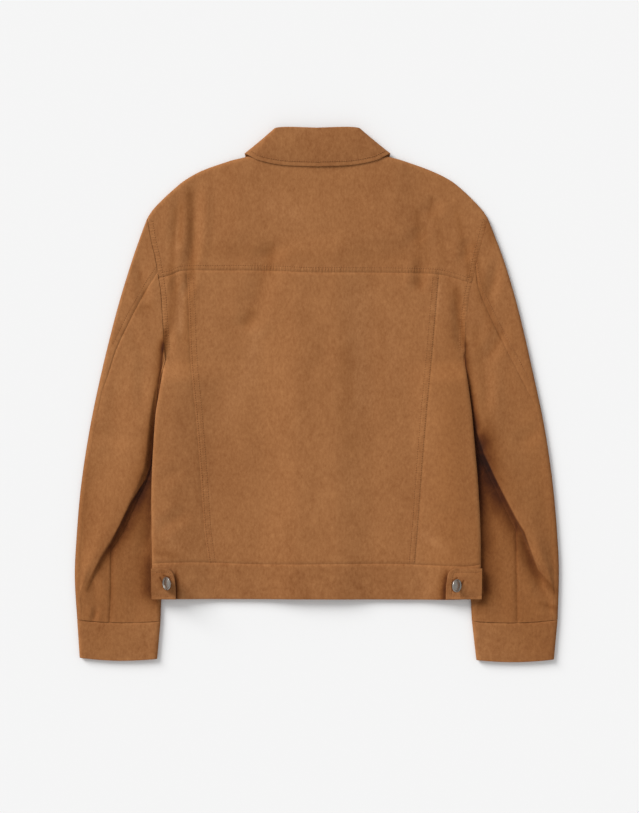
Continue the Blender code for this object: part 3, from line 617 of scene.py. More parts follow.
# The tabs' ends cast the same kind of painted shadow on the waistband.
TAB_SHADOWS = (
    # side, then x, y, reach and darkness along the edge
    (-1, (  # the left tab's end
        (-197.8, -248.6, 1.8, 1.2), (-197.1, -259.8, 2.4, 2.8), (-197.8, -273.8, 2.8, 3.4),
        (-198.5, -286.4, 2.8, 2.8),
    )),
    (1, (  # the right tab's end
        (183.7, -247.2, 3.1, 0.8), (181.6, -257.0, 4.7, 2.4), (180.9, -273.8, 5.5, 3.2),
        (180.2, -286.4, 5.5, 3.0),
    )),
)


print(len(NAP_AND_PAINTED_SHADE_MARKS), "marks in the nap,", len(SLEEVE_SHADOWS) + len(TAB_SHADOWS), "shadow lines")

# %% [markdown]
# A place takes the darkest mark that reaches it and the lightest one, so marks that cross don't
# pile up into knots. The lower sleeves are made a little darker than the rest, towards the cuffs.

# %% How much painted shade the nap gets at a place
UP_FROM, UP_TO = 1.5, 4.0        # heights between which cloth counts as facing up


def nap_and_painted_shade_at(x, y, z, shadows=()):
    """How much painted shade or painted highlight the nap gets at a place; the marks are on the side
    that faces up.
    """
    dark_most, light_most = np.zeros(np.shape(x)), np.zeros(np.shape(x))
    for x1, y1, x2, y2, width, dark in NAP_AND_PAINTED_SHADE_MARKS:
        dx, dy = x2 - x1, y2 - y1
        t = np.clip(((x - x1) * dx + (y - y1) * dy) / (dx * dx + dy * dy), 0.0, 1.0)
        apart = np.hypot(x - x1 - t * dx, y - y1 - t * dy)
        mark = dark * np.exp(-((apart / width) ** 2))
        dark_most, light_most = np.maximum(dark_most, mark), np.minimum(light_most, mark)
    deepest = np.zeros(np.shape(x))
    for side, line in shadows:
        nearest, shadow = np.full(np.shape(x), 1e9), np.zeros(np.shape(x))
        for (x1, y1, reach1, dark1), (x2, y2, reach2, dark2) in zip(line, line[1:]):
            dx, dy = x2 - x1, y2 - y1
            t = np.clip(((x - x1) * dx + (y - y1) * dy) / (dx * dx + dy * dy), 0.0, 1.0)
            apart = np.hypot(x - x1 - t * dx, y - y1 - t * dy)
            within = np.sign(side * ((x - x1) * dy - (y - y1) * dx)) * apart
            reach, dark = reach1 + t * (reach2 - reach1), dark1 + t * (dark2 - dark1)
            falls = dark * np.exp(-((np.maximum(within, 0.0) / reach) ** 1.3))
            falls *= smooth(within, -1.6, 0.8)
            shadow = np.where(apart < nearest, falls, shadow)
            nearest = np.minimum(apart, nearest)
        deepest = np.maximum(deepest, shadow)
    shade = (dark_most + light_most + deepest) * smooth(z, UP_FROM, UP_TO)
    if shadows is SLEEVE_SHADOWS:
        # the lower sleeves, a little darker towards the cuffs
        shade += 0.14 * (1.0 - smooth(y, -200.0, 0.0))
        # painted shade on the sleeves' folded rims, where the low lamp would light them brightly
        shade += 0.5 * smooth(z, 0.2, 1.2) * (1.0 - smooth(z, 3.6, 5.4))
    return shade


print("darkest at the left elbow's fold:",
      round(float(nap_and_painted_shade_at(-240.5, -119.8, 8.0, SLEEVE_SHADOWS)), 2))


# %% [markdown]
# ## Seams press the cloth in
# Where two panels meet, their edges turn down into the seam, and each row of topstitching pulls
# a shallow channel. Thread pulls harder at some stitches than at others, so the cloth beside it
# puckers. All three are one relief: a function of how far a point lies from the seam.

# %% The relief beside a seam
def seam_relief(distance, run, rows, groove=0.75):
    """Height of the cloth at a distance from a seam, at a place run along it, in millimetres."""
    low = -groove * np.exp(-((distance / 1.25) ** 2))
    for row in rows:
        near = np.exp(-(((distance - row) / 1.15) ** 2))
        swell = np.exp(-(((distance - row) / 4.0) ** 2))
        pucker = waves(run, 0.0 * run, 5.5, 3.0 + row) + 0.7 * waves(run, 0.0 * run, 13.0, 9.0 + row)
        low = low - 0.26 * near + 0.17 * swell * (1.0 + 1.8 * pucker)
    return low


YOKE_ROWS = (7.0,)               # topstitching above the yoke seam
LONG_ROWS = (2.1, 9.0)           # on the centre's side of the long seams
ARMHOLE_ROWS = (7.0,)            # on the body's side of the armholes
SLEEVE_ROWS = (-9.0,)            # on the outer side of the sleeve's back seam
COLLAR_ROW = 6.5                 # inside the fall's edge


def body_relief(x, y):
    """The relief of all the seams that the back of the body shows."""
    relief = seam_relief(y - along(YOKE_SEAM, x), x, YOKE_ROWS) * (y < 240.0)
    below = y < along(YOKE_SEAM, x) + 2.0
    for hand in (-1, 1):
        seam = along(LONG_SEAMS, y, 1 if hand < 0 else 2)
        relief += seam_relief(hand * (seam - x), y, LONG_ROWS, 0.5) * below * (y > WAIST_SEAM_Y - 4.0)
        arm = 1.0 - smooth(-y, -ARMPIT_Y, -ARMPIT_Y + 12.0)
        relief += seam_relief(hand * (side_x(hand, y) - x), y, ARMHOLE_ROWS, 0.3) * arm * (y < 250.0)
    waist = along(WAIST_SEAM, x)
    return relief + seam_relief(y - waist, x, (), groove=0.9)


print("relief in the yoke seam:", round(float(body_relief(0.0, float(along(YOKE_SEAM, 0.0)))), 2), "mm")

# %% [markdown]
# The finest puckers are too small for the points of a shell, so they are left to the suede's
# height. Each point only says how strong they are there, and how far along the seam it lies.

# %% Puckers beside the thread
def puckers(x, y, z):
    """How strongly thread puckers the cloth at a place, and how far along its seam that is."""
    strong, run = np.zeros(np.shape(x)), np.zeros(np.shape(x))
    up = smooth(z, 3.0, 5.0)

    def add(distance, along_seam, rows, reach, amount):
        nonlocal strong, run
        for row in rows:
            near = amount * up * np.exp(-(((distance - row) / reach) ** 2))
            run = np.where(near > strong, along_seam, run)
            strong = np.maximum(strong, near)

    inside = (abs(x) < 240.0) & (y < 245.0)
    pulls = 0.25 + 0.7 * np.exp(-(((x + 66.0) / 26.0) ** 2)) + 0.6 * np.exp(-(((x - 12.0) / 36.0) ** 2))
    pulls = pulls + 0.6 * np.exp(-(((x - 140.0) / 24.0) ** 2))
    body = inside * (x > side_x(-1, y)) * (x < side_x(1, y))
    add(y - along(YOKE_SEAM, x), x, (4.0,), 4.2, body * pulls)
    below = body * smooth(along(YOKE_SEAM, x) - y, 0.0, 4.0) * smooth(y - WAIST_SEAM_Y, 0.0, 5.0)
    for hand in (-1, 1):
        seam = along(LONG_SEAMS, y, 1 if hand < 0 else 2)
        add(hand * (seam - x), y, (5.5,), 3.6, 0.28 * below)
        arm = body * smooth(y, ARMPIT_Y, ARMPIT_Y + 14.0)
        add(hand * (side_x(hand, y) - x), y, (4.0,), 3.6, 0.6 * arm)
    return strong, run

# %% [markdown]
# ## One tool for every shell
# Bonded suede is about 1.4 mm thick, so a flat sheet would look like paper at its edges. A shell
# is a grid of points on the outer face and the same grid moved in by the thickness, joined round
# the rim. The Solidify modifier could do that too, but along a tight fold its inner face would
# cross itself, and here the inner grid is worked out by the same formula as the outer one. Each
# point of a shell also carries three values that the suede reads: how much painted shade or painted
# highlight its nap gets, how strongly thread puckers it, and how far along its seam it is.

# %% Build a shell from two grids
def shell(name, outer, inner, material, closed=False, soften=0.0, shadows=()):
    """A closed cloth piece between two grids of points in millimetres."""
    rows, cols = outer.shape[:2]
    points = np.concatenate([outer.reshape(-1, 3), inner.reshape(-1, 3)]) * MM
    spans = cols if closed else cols - 1
    i, j = (axis.ravel() for axis in np.meshgrid(np.arange(rows - 1), np.arange(spans), indexing="ij"))
    a, b = i * cols + j, i * cols + (j + 1) % cols
    c, d = b + cols, a + cols
    far = rows * cols
    faces = [np.stack([a, b, c, d], 1), np.stack([d, c, b, a], 1) + far]
    j = np.arange(spans)
    low, low_next = j, (j + 1) % cols
    top = (rows - 1) * cols
    faces.append(np.stack([low, low + far, low_next + far, low_next], 1))
    faces.append(np.stack([top + low_next, top + low_next + far, top + low + far, top + low], 1))
    if not closed:
        i = np.arange(rows - 1) * cols
        faces.append(np.stack([i + cols, i + cols + far, i + far, i], 1))
        i = i + cols - 1
        faces.append(np.stack([i, i + far, i + cols + far, i + cols], 1))
    mesh = bpy.data.meshes.new(name)
    mesh.from_pydata(points.tolist(), [], np.concatenate(faces).tolist())
    bm = bmesh.new()
    bm.from_mesh(mesh)
    bmesh.ops.recalc_face_normals(bm, faces=bm.faces)
    if bm.calc_volume(signed=True) < 0.0:
        bmesh.ops.reverse_faces(bm, faces=bm.faces)
    bm.to_mesh(mesh)
    bm.free()
    mesh.materials.append(material)
    # per point: painted shade, painted shadows and painted highlight from the marks, with a few patches
    # of nap
    nap_and_painted_shade = mesh.attributes.new("nap_and_painted_shade", "FLOAT", "POINT")
    nap_and_painted_shade.data.foreach_set("value", nap_and_painted_shade_at(*(points / MM).T, shadows))
    for label, values in zip(("pucker", "run"), puckers(*(points / MM).T)):
        mesh.attributes.new(label, "FLOAT", "POINT").data.foreach_set("value", values)
    piece = bpy.data.objects.new(name, mesh)
    bpy.context.collection.objects.link(piece)
    bpy.ops.object.select_all(action="DESELECT")
    bpy.context.view_layer.objects.active = piece
    piece.select_set(True)
    if soften > 0.0:
        rounding = piece.modifiers.new("rounded edge", "BEVEL")
        rounding.width = soften * MM
        rounding.segments = 2
        rounding.limit_method = "ANGLE"
        rounding.angle_limit = math.radians(50.0)
        bpy.ops.object.modifier_apply(modifier=rounding.name)
    bpy.ops.object.shade_smooth_by_angle(angle=math.radians(48.0))
    return piece


print("a shell is two grids joined round their rim")

# %% [markdown]
# Every piece of cloth was cut from a flat hide, so the size of its cut can be measured on the grid
# of its outer face: the longest row across, the longest column down, and the area of its cells.


def sheet_of(piece, grid, node):
    """The piece stands for its node and rides on the body; the size of the cut it came from is printed.
    """
    grid = grid * MM
    across = np.linalg.norm(np.diff(grid, axis=1), axis=2).sum(1)
    down = np.linalg.norm(np.diff(grid, axis=0), axis=2).sum(0)
    one = np.cross(grid[1:, 1:] - grid[:-1, :-1], grid[1:, :-1] - grid[:-1, 1:])
    area = float(np.linalg.norm(one, axis=2).sum() / 2.0)
    width, length = float(across.max()), float(down.max())
    area = min(area, width * length)
    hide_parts(node)
    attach(piece, "root")
    print(f"{node}: cut {width:.3f} x {length:.3f} m, {len(piece.data.polygons)} faces")
    return piece


# %% [markdown]
# ## The suede's colour, nap and grain
# Suede is a short, dense pile. Where a hand has brushed it one way it looks lighter, the other way
# darker, so its colour is mottled in soft patches from a palm's size down to a fingertip's, with
# a fine fleck from the fibres. One node group makes the mottle, the roughness and the height, so
# that the panels, the doubled pieces and the thread share it, each with its own values. The sheen
# that fibres show at a grazing angle is the shader's own and is the same all over.

# %% A helper for a material's sums
def reckoner(tree):
    """Returns a function that adds one math node to a tree and gives its result's socket."""
    def calc(operation, *values, clamp=False):
        node = tree.nodes.new("ShaderNodeMath")
        node.operation = operation
        node.use_clamp = clamp
        for socket, value in zip(node.inputs, values):
            if isinstance(value, (int, float)):
                socket.default_value = value
            else:
                tree.links.new(value, socket)
        return node.outputs[0]
    return calc


print("sums of sockets and numbers can be written as calls")

# %% [markdown]
# The group starts from five clouds of noise, from a palm's size down to single fibres. They are
# stretched along the piece, as the pile is. The painted shade of the marks darkens red least and
# blue most, as shade on tan suede does, and a sine along each seam makes the ripples that thread pulls
# up.

# %% The suede group
CLOUDS = {
    # size: scale, detail, roughness, stretch along Y, warp
    "palms": (9.0, 3.0, 0.55, 0.62, 0.6),
    "fingers": (58.0, 5.0, 0.62, 0.7, 0.6),
    "fibres": (330.0, 5.0, 0.68, 0.55, 0.0),
    "fleck": (1500.0, 3.0, 0.7, 1.0, 0.0),
    "knots": (150.0, 3.0, 0.6, 0.8, 0.3),
}
KEPT = (0.57, 0.46, 0.31)        # how much red, green and blue a shade of 1 leaves
RIPPLE = 4.3                     # from one pucker to the next, in millimetres
SOCKETS = (
    ("INPUT", "Place", "Vector"), ("INPUT", "Shade", "Float"), ("INPUT", "Pucker", "Float"),
    ("INPUT", "Run", "Float"), ("INPUT", "Light side", "Color"), ("INPUT", "Dark side", "Color"),
    ("INPUT", "Patchiness", "Float"), ("INPUT", "Fleck", "Float"),
    ("OUTPUT", "Color", "Color"), ("OUTPUT", "Roughness", "Float"), ("OUTPUT", "Height", "Float"),
)


def suede_group():
    """Nap patches, fibre fleck, painted shade and grain from a place on the cloth."""
    group = bpy.data.node_groups.new("suede nap", "ShaderNodeTree")
    for way, label, kind in SOCKETS:
        group.interface.new_socket(label, in_out=way, socket_type="NodeSocket" + kind)
    nodes, links, calc = group.nodes, group.links, reckoner(group)
    start, end = nodes.new("NodeGroupInput"), nodes.new("NodeGroupOutput")

    clouds = {}
    for label, (scale, detail, roughness, stretch, warp) in CLOUDS.items():
        turn, tone = nodes.new("ShaderNodeMapping"), nodes.new("ShaderNodeTexNoise")
        turn.inputs["Scale"].default_value = (1.0, stretch, 1.0)
        for name, value in (("Scale", scale), ("Detail", detail), ("Roughness", roughness),
                            ("Distortion", warp)):
            tone.inputs[name].default_value = value
        links.new(start.outputs["Place"], turn.inputs["Vector"])
        links.new(turn.outputs["Vector"], tone.inputs["Vector"])
        clouds[label] = tone.outputs["Fac"]

    def blend(**weights):
        """Clouds added up, each swinging about zero by its weight."""
        total = None
        for label, weight in weights.items():
            if total is None:
                total = calc("MULTIPLY_ADD", clouds[label], weight, -0.5 * weight)
            else:
                total = calc("MULTIPLY_ADD", clouds[label], weight, total)
                total = calc("SUBTRACT", total, 0.5 * weight)
        return total

    patches = calc("MULTIPLY", blend(palms=0.55, fingers=0.6, knots=0.5), start.outputs["Patchiness"])
    fine = calc("MULTIPLY", blend(fibres=1.5, fleck=0.9), start.outputs["Fleck"])
    tone = calc("ADD", calc("ADD", patches, fine), 0.5, clamp=True)
    mix = nodes.new("ShaderNodeMix")
    mix.data_type = "RGBA"
    links.new(tone, mix.inputs[0])
    links.new(start.outputs["Dark side"], mix.inputs[6])
    links.new(start.outputs["Light side"], mix.inputs[7])

    # painted shade from the marks, broken up by the fingers' noise, takes more blue than red from the
    # colour
    shade = calc("MULTIPLY", start.outputs["Shade"], calc("MULTIPLY_ADD", clouds["fingers"], 1.4, 0.3))
    keeps, deepen = nodes.new("ShaderNodeCombineXYZ"), nodes.new("ShaderNodeVectorMath")
    for channel, kept in zip("XYZ", KEPT):
        links.new(calc("POWER", kept, shade), keeps.inputs[channel])
    deepen.operation = "MULTIPLY"
    links.new(mix.outputs[2], deepen.inputs[0])
    links.new(keeps.outputs["Vector"], deepen.inputs[1])
    links.new(deepen.outputs["Vector"], end.inputs["Color"])

    rough = nodes.new("ShaderNodeMapRange")
    rough.inputs["To Min"].default_value = 0.96
    rough.inputs["To Max"].default_value = 0.84
    links.new(tone, rough.inputs["Value"])
    links.new(rough.outputs["Result"], end.inputs["Roughness"])

    shake = calc("MULTIPLY", clouds["knots"], 9.0)
    swing = calc("SINE", calc("MULTIPLY_ADD", start.outputs["Run"], 2.0 * math.pi / RIPPLE, shake))
    grain = blend(fibres=0.75, fleck=0.45, fingers=0.25)
    links.new(calc("ADD", grain, calc("MULTIPLY", swing, start.outputs["Pucker"])), end.inputs["Height"])
    return group


SUEDE = suede_group()
print("suede group:", len(SUEDE.nodes), "nodes")

# %% [markdown]
# Three suedes use the group: the panels', the doubled pieces', which are a little darker and
# patchier, and the thread's, which is smoother and dyed close to the cloth.

# %% Three suedes
def suede(name, light, dark, patchiness=1.0, fleck=0.8, depth=0.00026, sheen=0.11):
    """One suede: its two nap colours, how patchy it is, and how deep its grain is in metres."""
    material = bpy.data.materials.new(name)
    material.use_nodes = True
    nodes, links = material.node_tree.nodes, material.node_tree.links
    shader, nap_and_painted_shade = nodes["Principled BSDF"], nodes.new("ShaderNodeGroup")
    nap_and_painted_shade.node_tree = SUEDE
    for socket, value in (("Sheen Weight", sheen), ("Sheen Roughness", 0.55),
                          ("Sheen Tint", (0.95, 0.62, 0.36, 1.0)), ("Specular IOR Level", 0.18)):
        shader.inputs[socket].default_value = value
    for socket, value in (("Light side", (*light, 1.0)), ("Dark side", (*dark, 1.0)),
                          ("Patchiness", patchiness), ("Fleck", fleck)):
        nap_and_painted_shade.inputs[socket].default_value = value
    place = nodes.new("ShaderNodeTexCoord")
    links.new(place.outputs["Object"], nap_and_painted_shade.inputs["Place"])
    for label, socket in (("nap_and_painted_shade", "Shade"), ("pucker", "Pucker"), ("run", "Run")):
        marks = nodes.new("ShaderNodeAttribute")
        marks.attribute_name = label
        links.new(marks.outputs["Fac"], nap_and_painted_shade.inputs[socket])
    bump = nodes.new("ShaderNodeBump")
    bump.inputs["Distance"].default_value = depth
    bump.inputs["Strength"].default_value = 0.8
    links.new(nap_and_painted_shade.outputs["Height"], bump.inputs["Height"])
    links.new(nap_and_painted_shade.outputs["Color"], shader.inputs["Base Color"])
    links.new(nap_and_painted_shade.outputs["Roughness"], shader.inputs["Roughness"])
    links.new(bump.outputs["Normal"], shader.inputs["Normal"])
    return material


main_suede = suede("suede of the panels", (0.388, 0.170, 0.0605), (0.226, 0.080, 0.0230))
band_suede = suede("suede of the doubled pieces", (0.370, 0.161, 0.0570), (0.215, 0.076, 0.0220),
                   patchiness=1.5)
thread_suede = suede("stitching thread", (0.34, 0.143, 0.049), (0.24, 0.090, 0.029),
                     patchiness=0.3, fleck=0.3, depth=0.00005, sheen=0.1)
print("suedes:", main_suede.name, band_suede.name, thread_suede.name)

# %% [markdown]
# ## The body
# Laid flat, the body is a tube pressed almost shut: the back on top, the closed front below. Its
# sides ride up on the sleeves, its middle is lifted a little by the buttons under it, and at the
# shoulders and side seams it turns over in a tight fold. A panel is filled in between its four
# edges, then each point gets the height of its layer. Box modelling would need all of these
# curves drawn by eye; the tables already hold them.

# %% Heights of the body's layers
def centre_rise(x, y, height, reach=85.0):
    """A rise over the closed front, which dies out to both sides and above the collar's points."""
    return height * (1.0 - smooth(abs(x), LAP_HALF + 3.0, reach)) * (1.0 - smooth(y, *NECK_LIFT_Y))


def layer_height(layer, x, y, depth):
    """Height of a point of one of the body's layers, at a depth under that layer's outer face."""
    floor = body_floor(x, y)
    if layer == "back":
        return floor + BODY_THICK + centre_rise(x, y, CENTRE_RISE) - depth
    rise = centre_rise(x, y, BUTTON_HEAD + SEAM)
    if layer == "lap":
        under = np.where(y < WAIST_SEAM_Y + 12.0, DOUBLED, CLOTH)
        rise = rise + (2.0 * SEAM + under) * (1.0 - smooth(x, LAP_HALF + 2.0, 60.0))
    return floor + rise + depth


print("back", round(float(layer_height("back", 0.0, 0.0, 0.0)), 1), "mm up at the middle")

# %% [markdown]
# A panel's four edges are curves, and each depends on the others at the corners. The corners are
# found by trying and correcting a few times, and then the panel is filled in between its edges.

# %% Fill a panel in between its edges
def between(low_y, high_y, left_x, right_x, us, vs):
    """A panel's flat places from its four edges: low and high are y at x, left and right x at y."""
    u, v = np.meshgrid(us, vs)
    low_x = high_x = np.zeros_like(u)
    for _ in range(5):
        y_low, y_high = low_y(low_x), high_y(high_x)
        low_x = left_x(y_low) * (1.0 - u) + right_x(y_low) * u
        high_x = left_x(y_high) * (1.0 - u) + right_x(y_high) * u
    y = y_low * (1.0 - v) + y_high * v
    return left_x(y) * (1.0 - u) + right_x(y) * u, y


def stops(length, spacing, first=False, last=False):
    """Even fractions of a length, with extra ones where a fold turns at its first or last end."""
    turn = EDGE_ROUND * (1.0 - np.cos(np.radians(np.arange(0.0, 90.0, 15.0)))) / length
    start = EDGE_ROUND / length if first else 0.0
    end = 1.0 - EDGE_ROUND / length if last else 1.0
    count = max(2, int(round(length * (end - start) / spacing)))
    parts = [turn] if first else []
    parts.append(np.linspace(start, end, count + 1))
    if last:
        parts.append(1.0 - turn[::-1])
    return np.concatenate(parts)


print("stops of a 30 mm strip with one fold:", len(stops(30.0, FINE, last=True)))

# %% [markdown]
# Near a side or a shoulder the layer turns over in a fold: its height follows a quarter circle
# down to the middle of the stack, and points under the outer face move inwards as well. The
# relief, the creases and the slow waves fade out there, so that two layers meet cleanly.

# %% One panel of the body
def body_face(layer, x, y, depth, sides, top):
    """One face of a panel over its flat places x and y, at a depth under its outer face."""
    z_mid = body_floor(x, y) + BODY_THICK / 2.0
    z = layer_height(layer, x, y, depth)
    near_all, dx, dy = np.zeros_like(x), np.zeros_like(x), np.zeros_like(x)
    if sides:
        folded = 1.0 - smooth(y, ARMPIT_Y, ARMPIT_Y + 10.0)
        for hand in (-1, 1):
            near = np.clip(1.0 - abs(x - side_x(hand, y)) / EDGE_ROUND, 0.0, 1.0) * folded
            near_all += near * near
            dx -= hand * depth * near
    if top:
        slope = (along(TOP_EDGE, x + 1.0) - along(TOP_EDGE, x - 1.0)) / 2.0
        length = np.hypot(slope, 1.0)
        gap = np.maximum(0.0, (along(TOP_EDGE, x) - y) / length)
        near = np.clip(1.0 - gap / EDGE_ROUND, 0.0, 1.0) * along(TOP_EDGE, x, 2)
        near_all += near * near
        dx += slope / length * depth * near
        dy -= depth * near / length
    near_all = np.clip(near_all, 0.0, 1.0)
    flat = np.sqrt(1.0 - near_all)
    sign = 1.0 if layer == "back" else -1.0
    z = z_mid + (z - z_mid) * flat + sign * SEAM / 2.0 * near_all
    if layer == "back":
        lie = 0.55 * waves(x, y, 95.0, 1.0) + 0.3 * waves(x, y, 34.0, 5.0)
        z = z + flat * (body_relief(x, y) + lie - crease_depth(x, y, BACK_CREASES))
    else:
        z = z + 0.5 * flat * crease_depth(x, y, FRONT_CREASES)
    return np.stack([x + dx, y + dy, z], 2)


def panel(name, layer, edges, size, spacing, material, thickness=CLOTH, sides=(False, False),
          top=False, soften=0.0, shadows=()):
    """A panel of the body, filled in between its edges (low, high, left, right)."""
    us = stops(size[0], spacing, *sides)
    vs = stops(size[1], spacing, last=top)
    x, y = between(*edges, us, vs)
    faces = [body_face(layer, x, y, depth, any(sides), top) for depth in (0.0, thickness)]
    piece = shell(name + "_cloth", faces[0], faces[1], material, soften=soften, shadows=shadows)
    return sheet_of(piece, faces[0], name)


print("side fold starts", EDGE_ROUND, "mm inside the edge")

# %% [markdown]
# ## Cutting the panels
# A maker cuts the yoke, the middle and two sides for the back, and two fronts with a button stand.
# Each edge is one of the seam lines, moved by half the gap that keeps two shells apart. The
# hidden front gets wider-spaced points, since it is nearly flat.

# %% The edges that the panels share
def left_edge(y):
    return side_x(-1, y) + HALF


def right_edge(y):
    return side_x(1, y) - HALF


def long_seam(hand, gap):
    return lambda y: along(LONG_SEAMS, y, 1 if hand < 0 else 2) + gap


def line(table, gap):
    return lambda x: along(table, x) + gap


def at_x(x):
    return lambda y: np.full(np.shape(y), float(x))


def front_top(x):
    """Upper edge of the fronts: the neckline, and past it the shoulder."""
    neck = along(FRONT_NECK, abs(x))
    return np.where(abs(x) < FRONT_NECK[-1][0], neck, along(TOP_EDGE, x))


print("hem", round(float(right_edge(-287.0) - left_edge(-287.0))), "mm across")

# %% The back
back_low, back_high = line(WAIST_SEAM, HALF), line(YOKE_SEAM, -HALF)
panel("back_yoke", "back", (line(YOKE_SEAM, HALF), line(TOP_EDGE, 0.0), left_edge, right_edge),
      (476.0, 160.0), FINE, main_suede, top=True)
panel("back_center", "back", (back_low, back_high, long_seam(-1, HALF), long_seam(1, -HALF)),
      (350.0, 410.0), FINE, main_suede)
panel("back_side_left", "back", (back_low, back_high, left_edge, long_seam(-1, -HALF)),
      (60.0, 410.0), FINE, main_suede, sides=(True, False))
panel("back_side_right", "back", (back_low, back_high, long_seam(1, HALF), right_edge),
      (66.0, 410.0), FINE, main_suede, sides=(False, True))

# %% [markdown]
# The fronts lie below and can't be seen from above, so they are kept plain. The right one laps over
# the button stand, as on the closed jacket.

# %% The fronts and the button stand
front_low = line(WAIST_SEAM, HALF)
panel("front_left", "front", (front_low, front_top, left_edge, at_x(-LAP_HALF)),
      (210.0, 540.0), COARSE, main_suede, sides=(True, False), top=True)
panel("front_placket", "front", (front_low, front_top, at_x(SEAM - LAP_HALF), at_x(LAP_HALF)),
      (38.0, 500.0), COARSE, main_suede)
panel("front_right", "lap", (front_low, front_top, at_x(SEAM - LAP_HALF), right_edge),
      (248.0, 540.0), COARSE, main_suede, sides=(False, True), top=True)

# %% [markdown]
# ## The waistband
# The band is the same cloth doubled and pressed, so it is thicker and its lower edge is rounded.
# Its back runs in one piece from side fold to side fold, and its two front parts close below.

# %% The three parts of the waistband
band_edges = (line(HEM_EDGE, 0.0), line(WAIST_SEAM, -HALF))
panel("waistband_back", "back", (*band_edges, left_edge, right_edge), (459.0, 48.0), FINE,
      band_suede, thickness=DOUBLED, sides=(True, True), soften=0.5, shadows=TAB_SHADOWS)
panel("waistband_front_left", "front", (*band_edges, left_edge, at_x(LAP_HALF)), (248.0, 48.0),
      COARSE, band_suede, thickness=DOUBLED, sides=(True, False), soften=0.5)
panel("waistband_front_right", "lap", (*band_edges, at_x(SEAM - LAP_HALF), right_edge),
      (248.0, 48.0), COARSE, band_suede, thickness=DOUBLED, sides=(False, True), soften=0.5)

# %% [markdown]
# ## The sleeves
# A jacket sleeve is cut in two pieces: a wide one over the arm and a narrow one under it. The
# seam between them runs down the back of the arm, and a second one down the forearm. Laid flat,
# the sleeve lies folded at the elbow: the upper arm's cloth laps over the forearm in one long
# slanting fold. A section across the tube is worked out first, as a line in from the outer fold
# and up, and the sections are then strung from the armhole to the cuff.

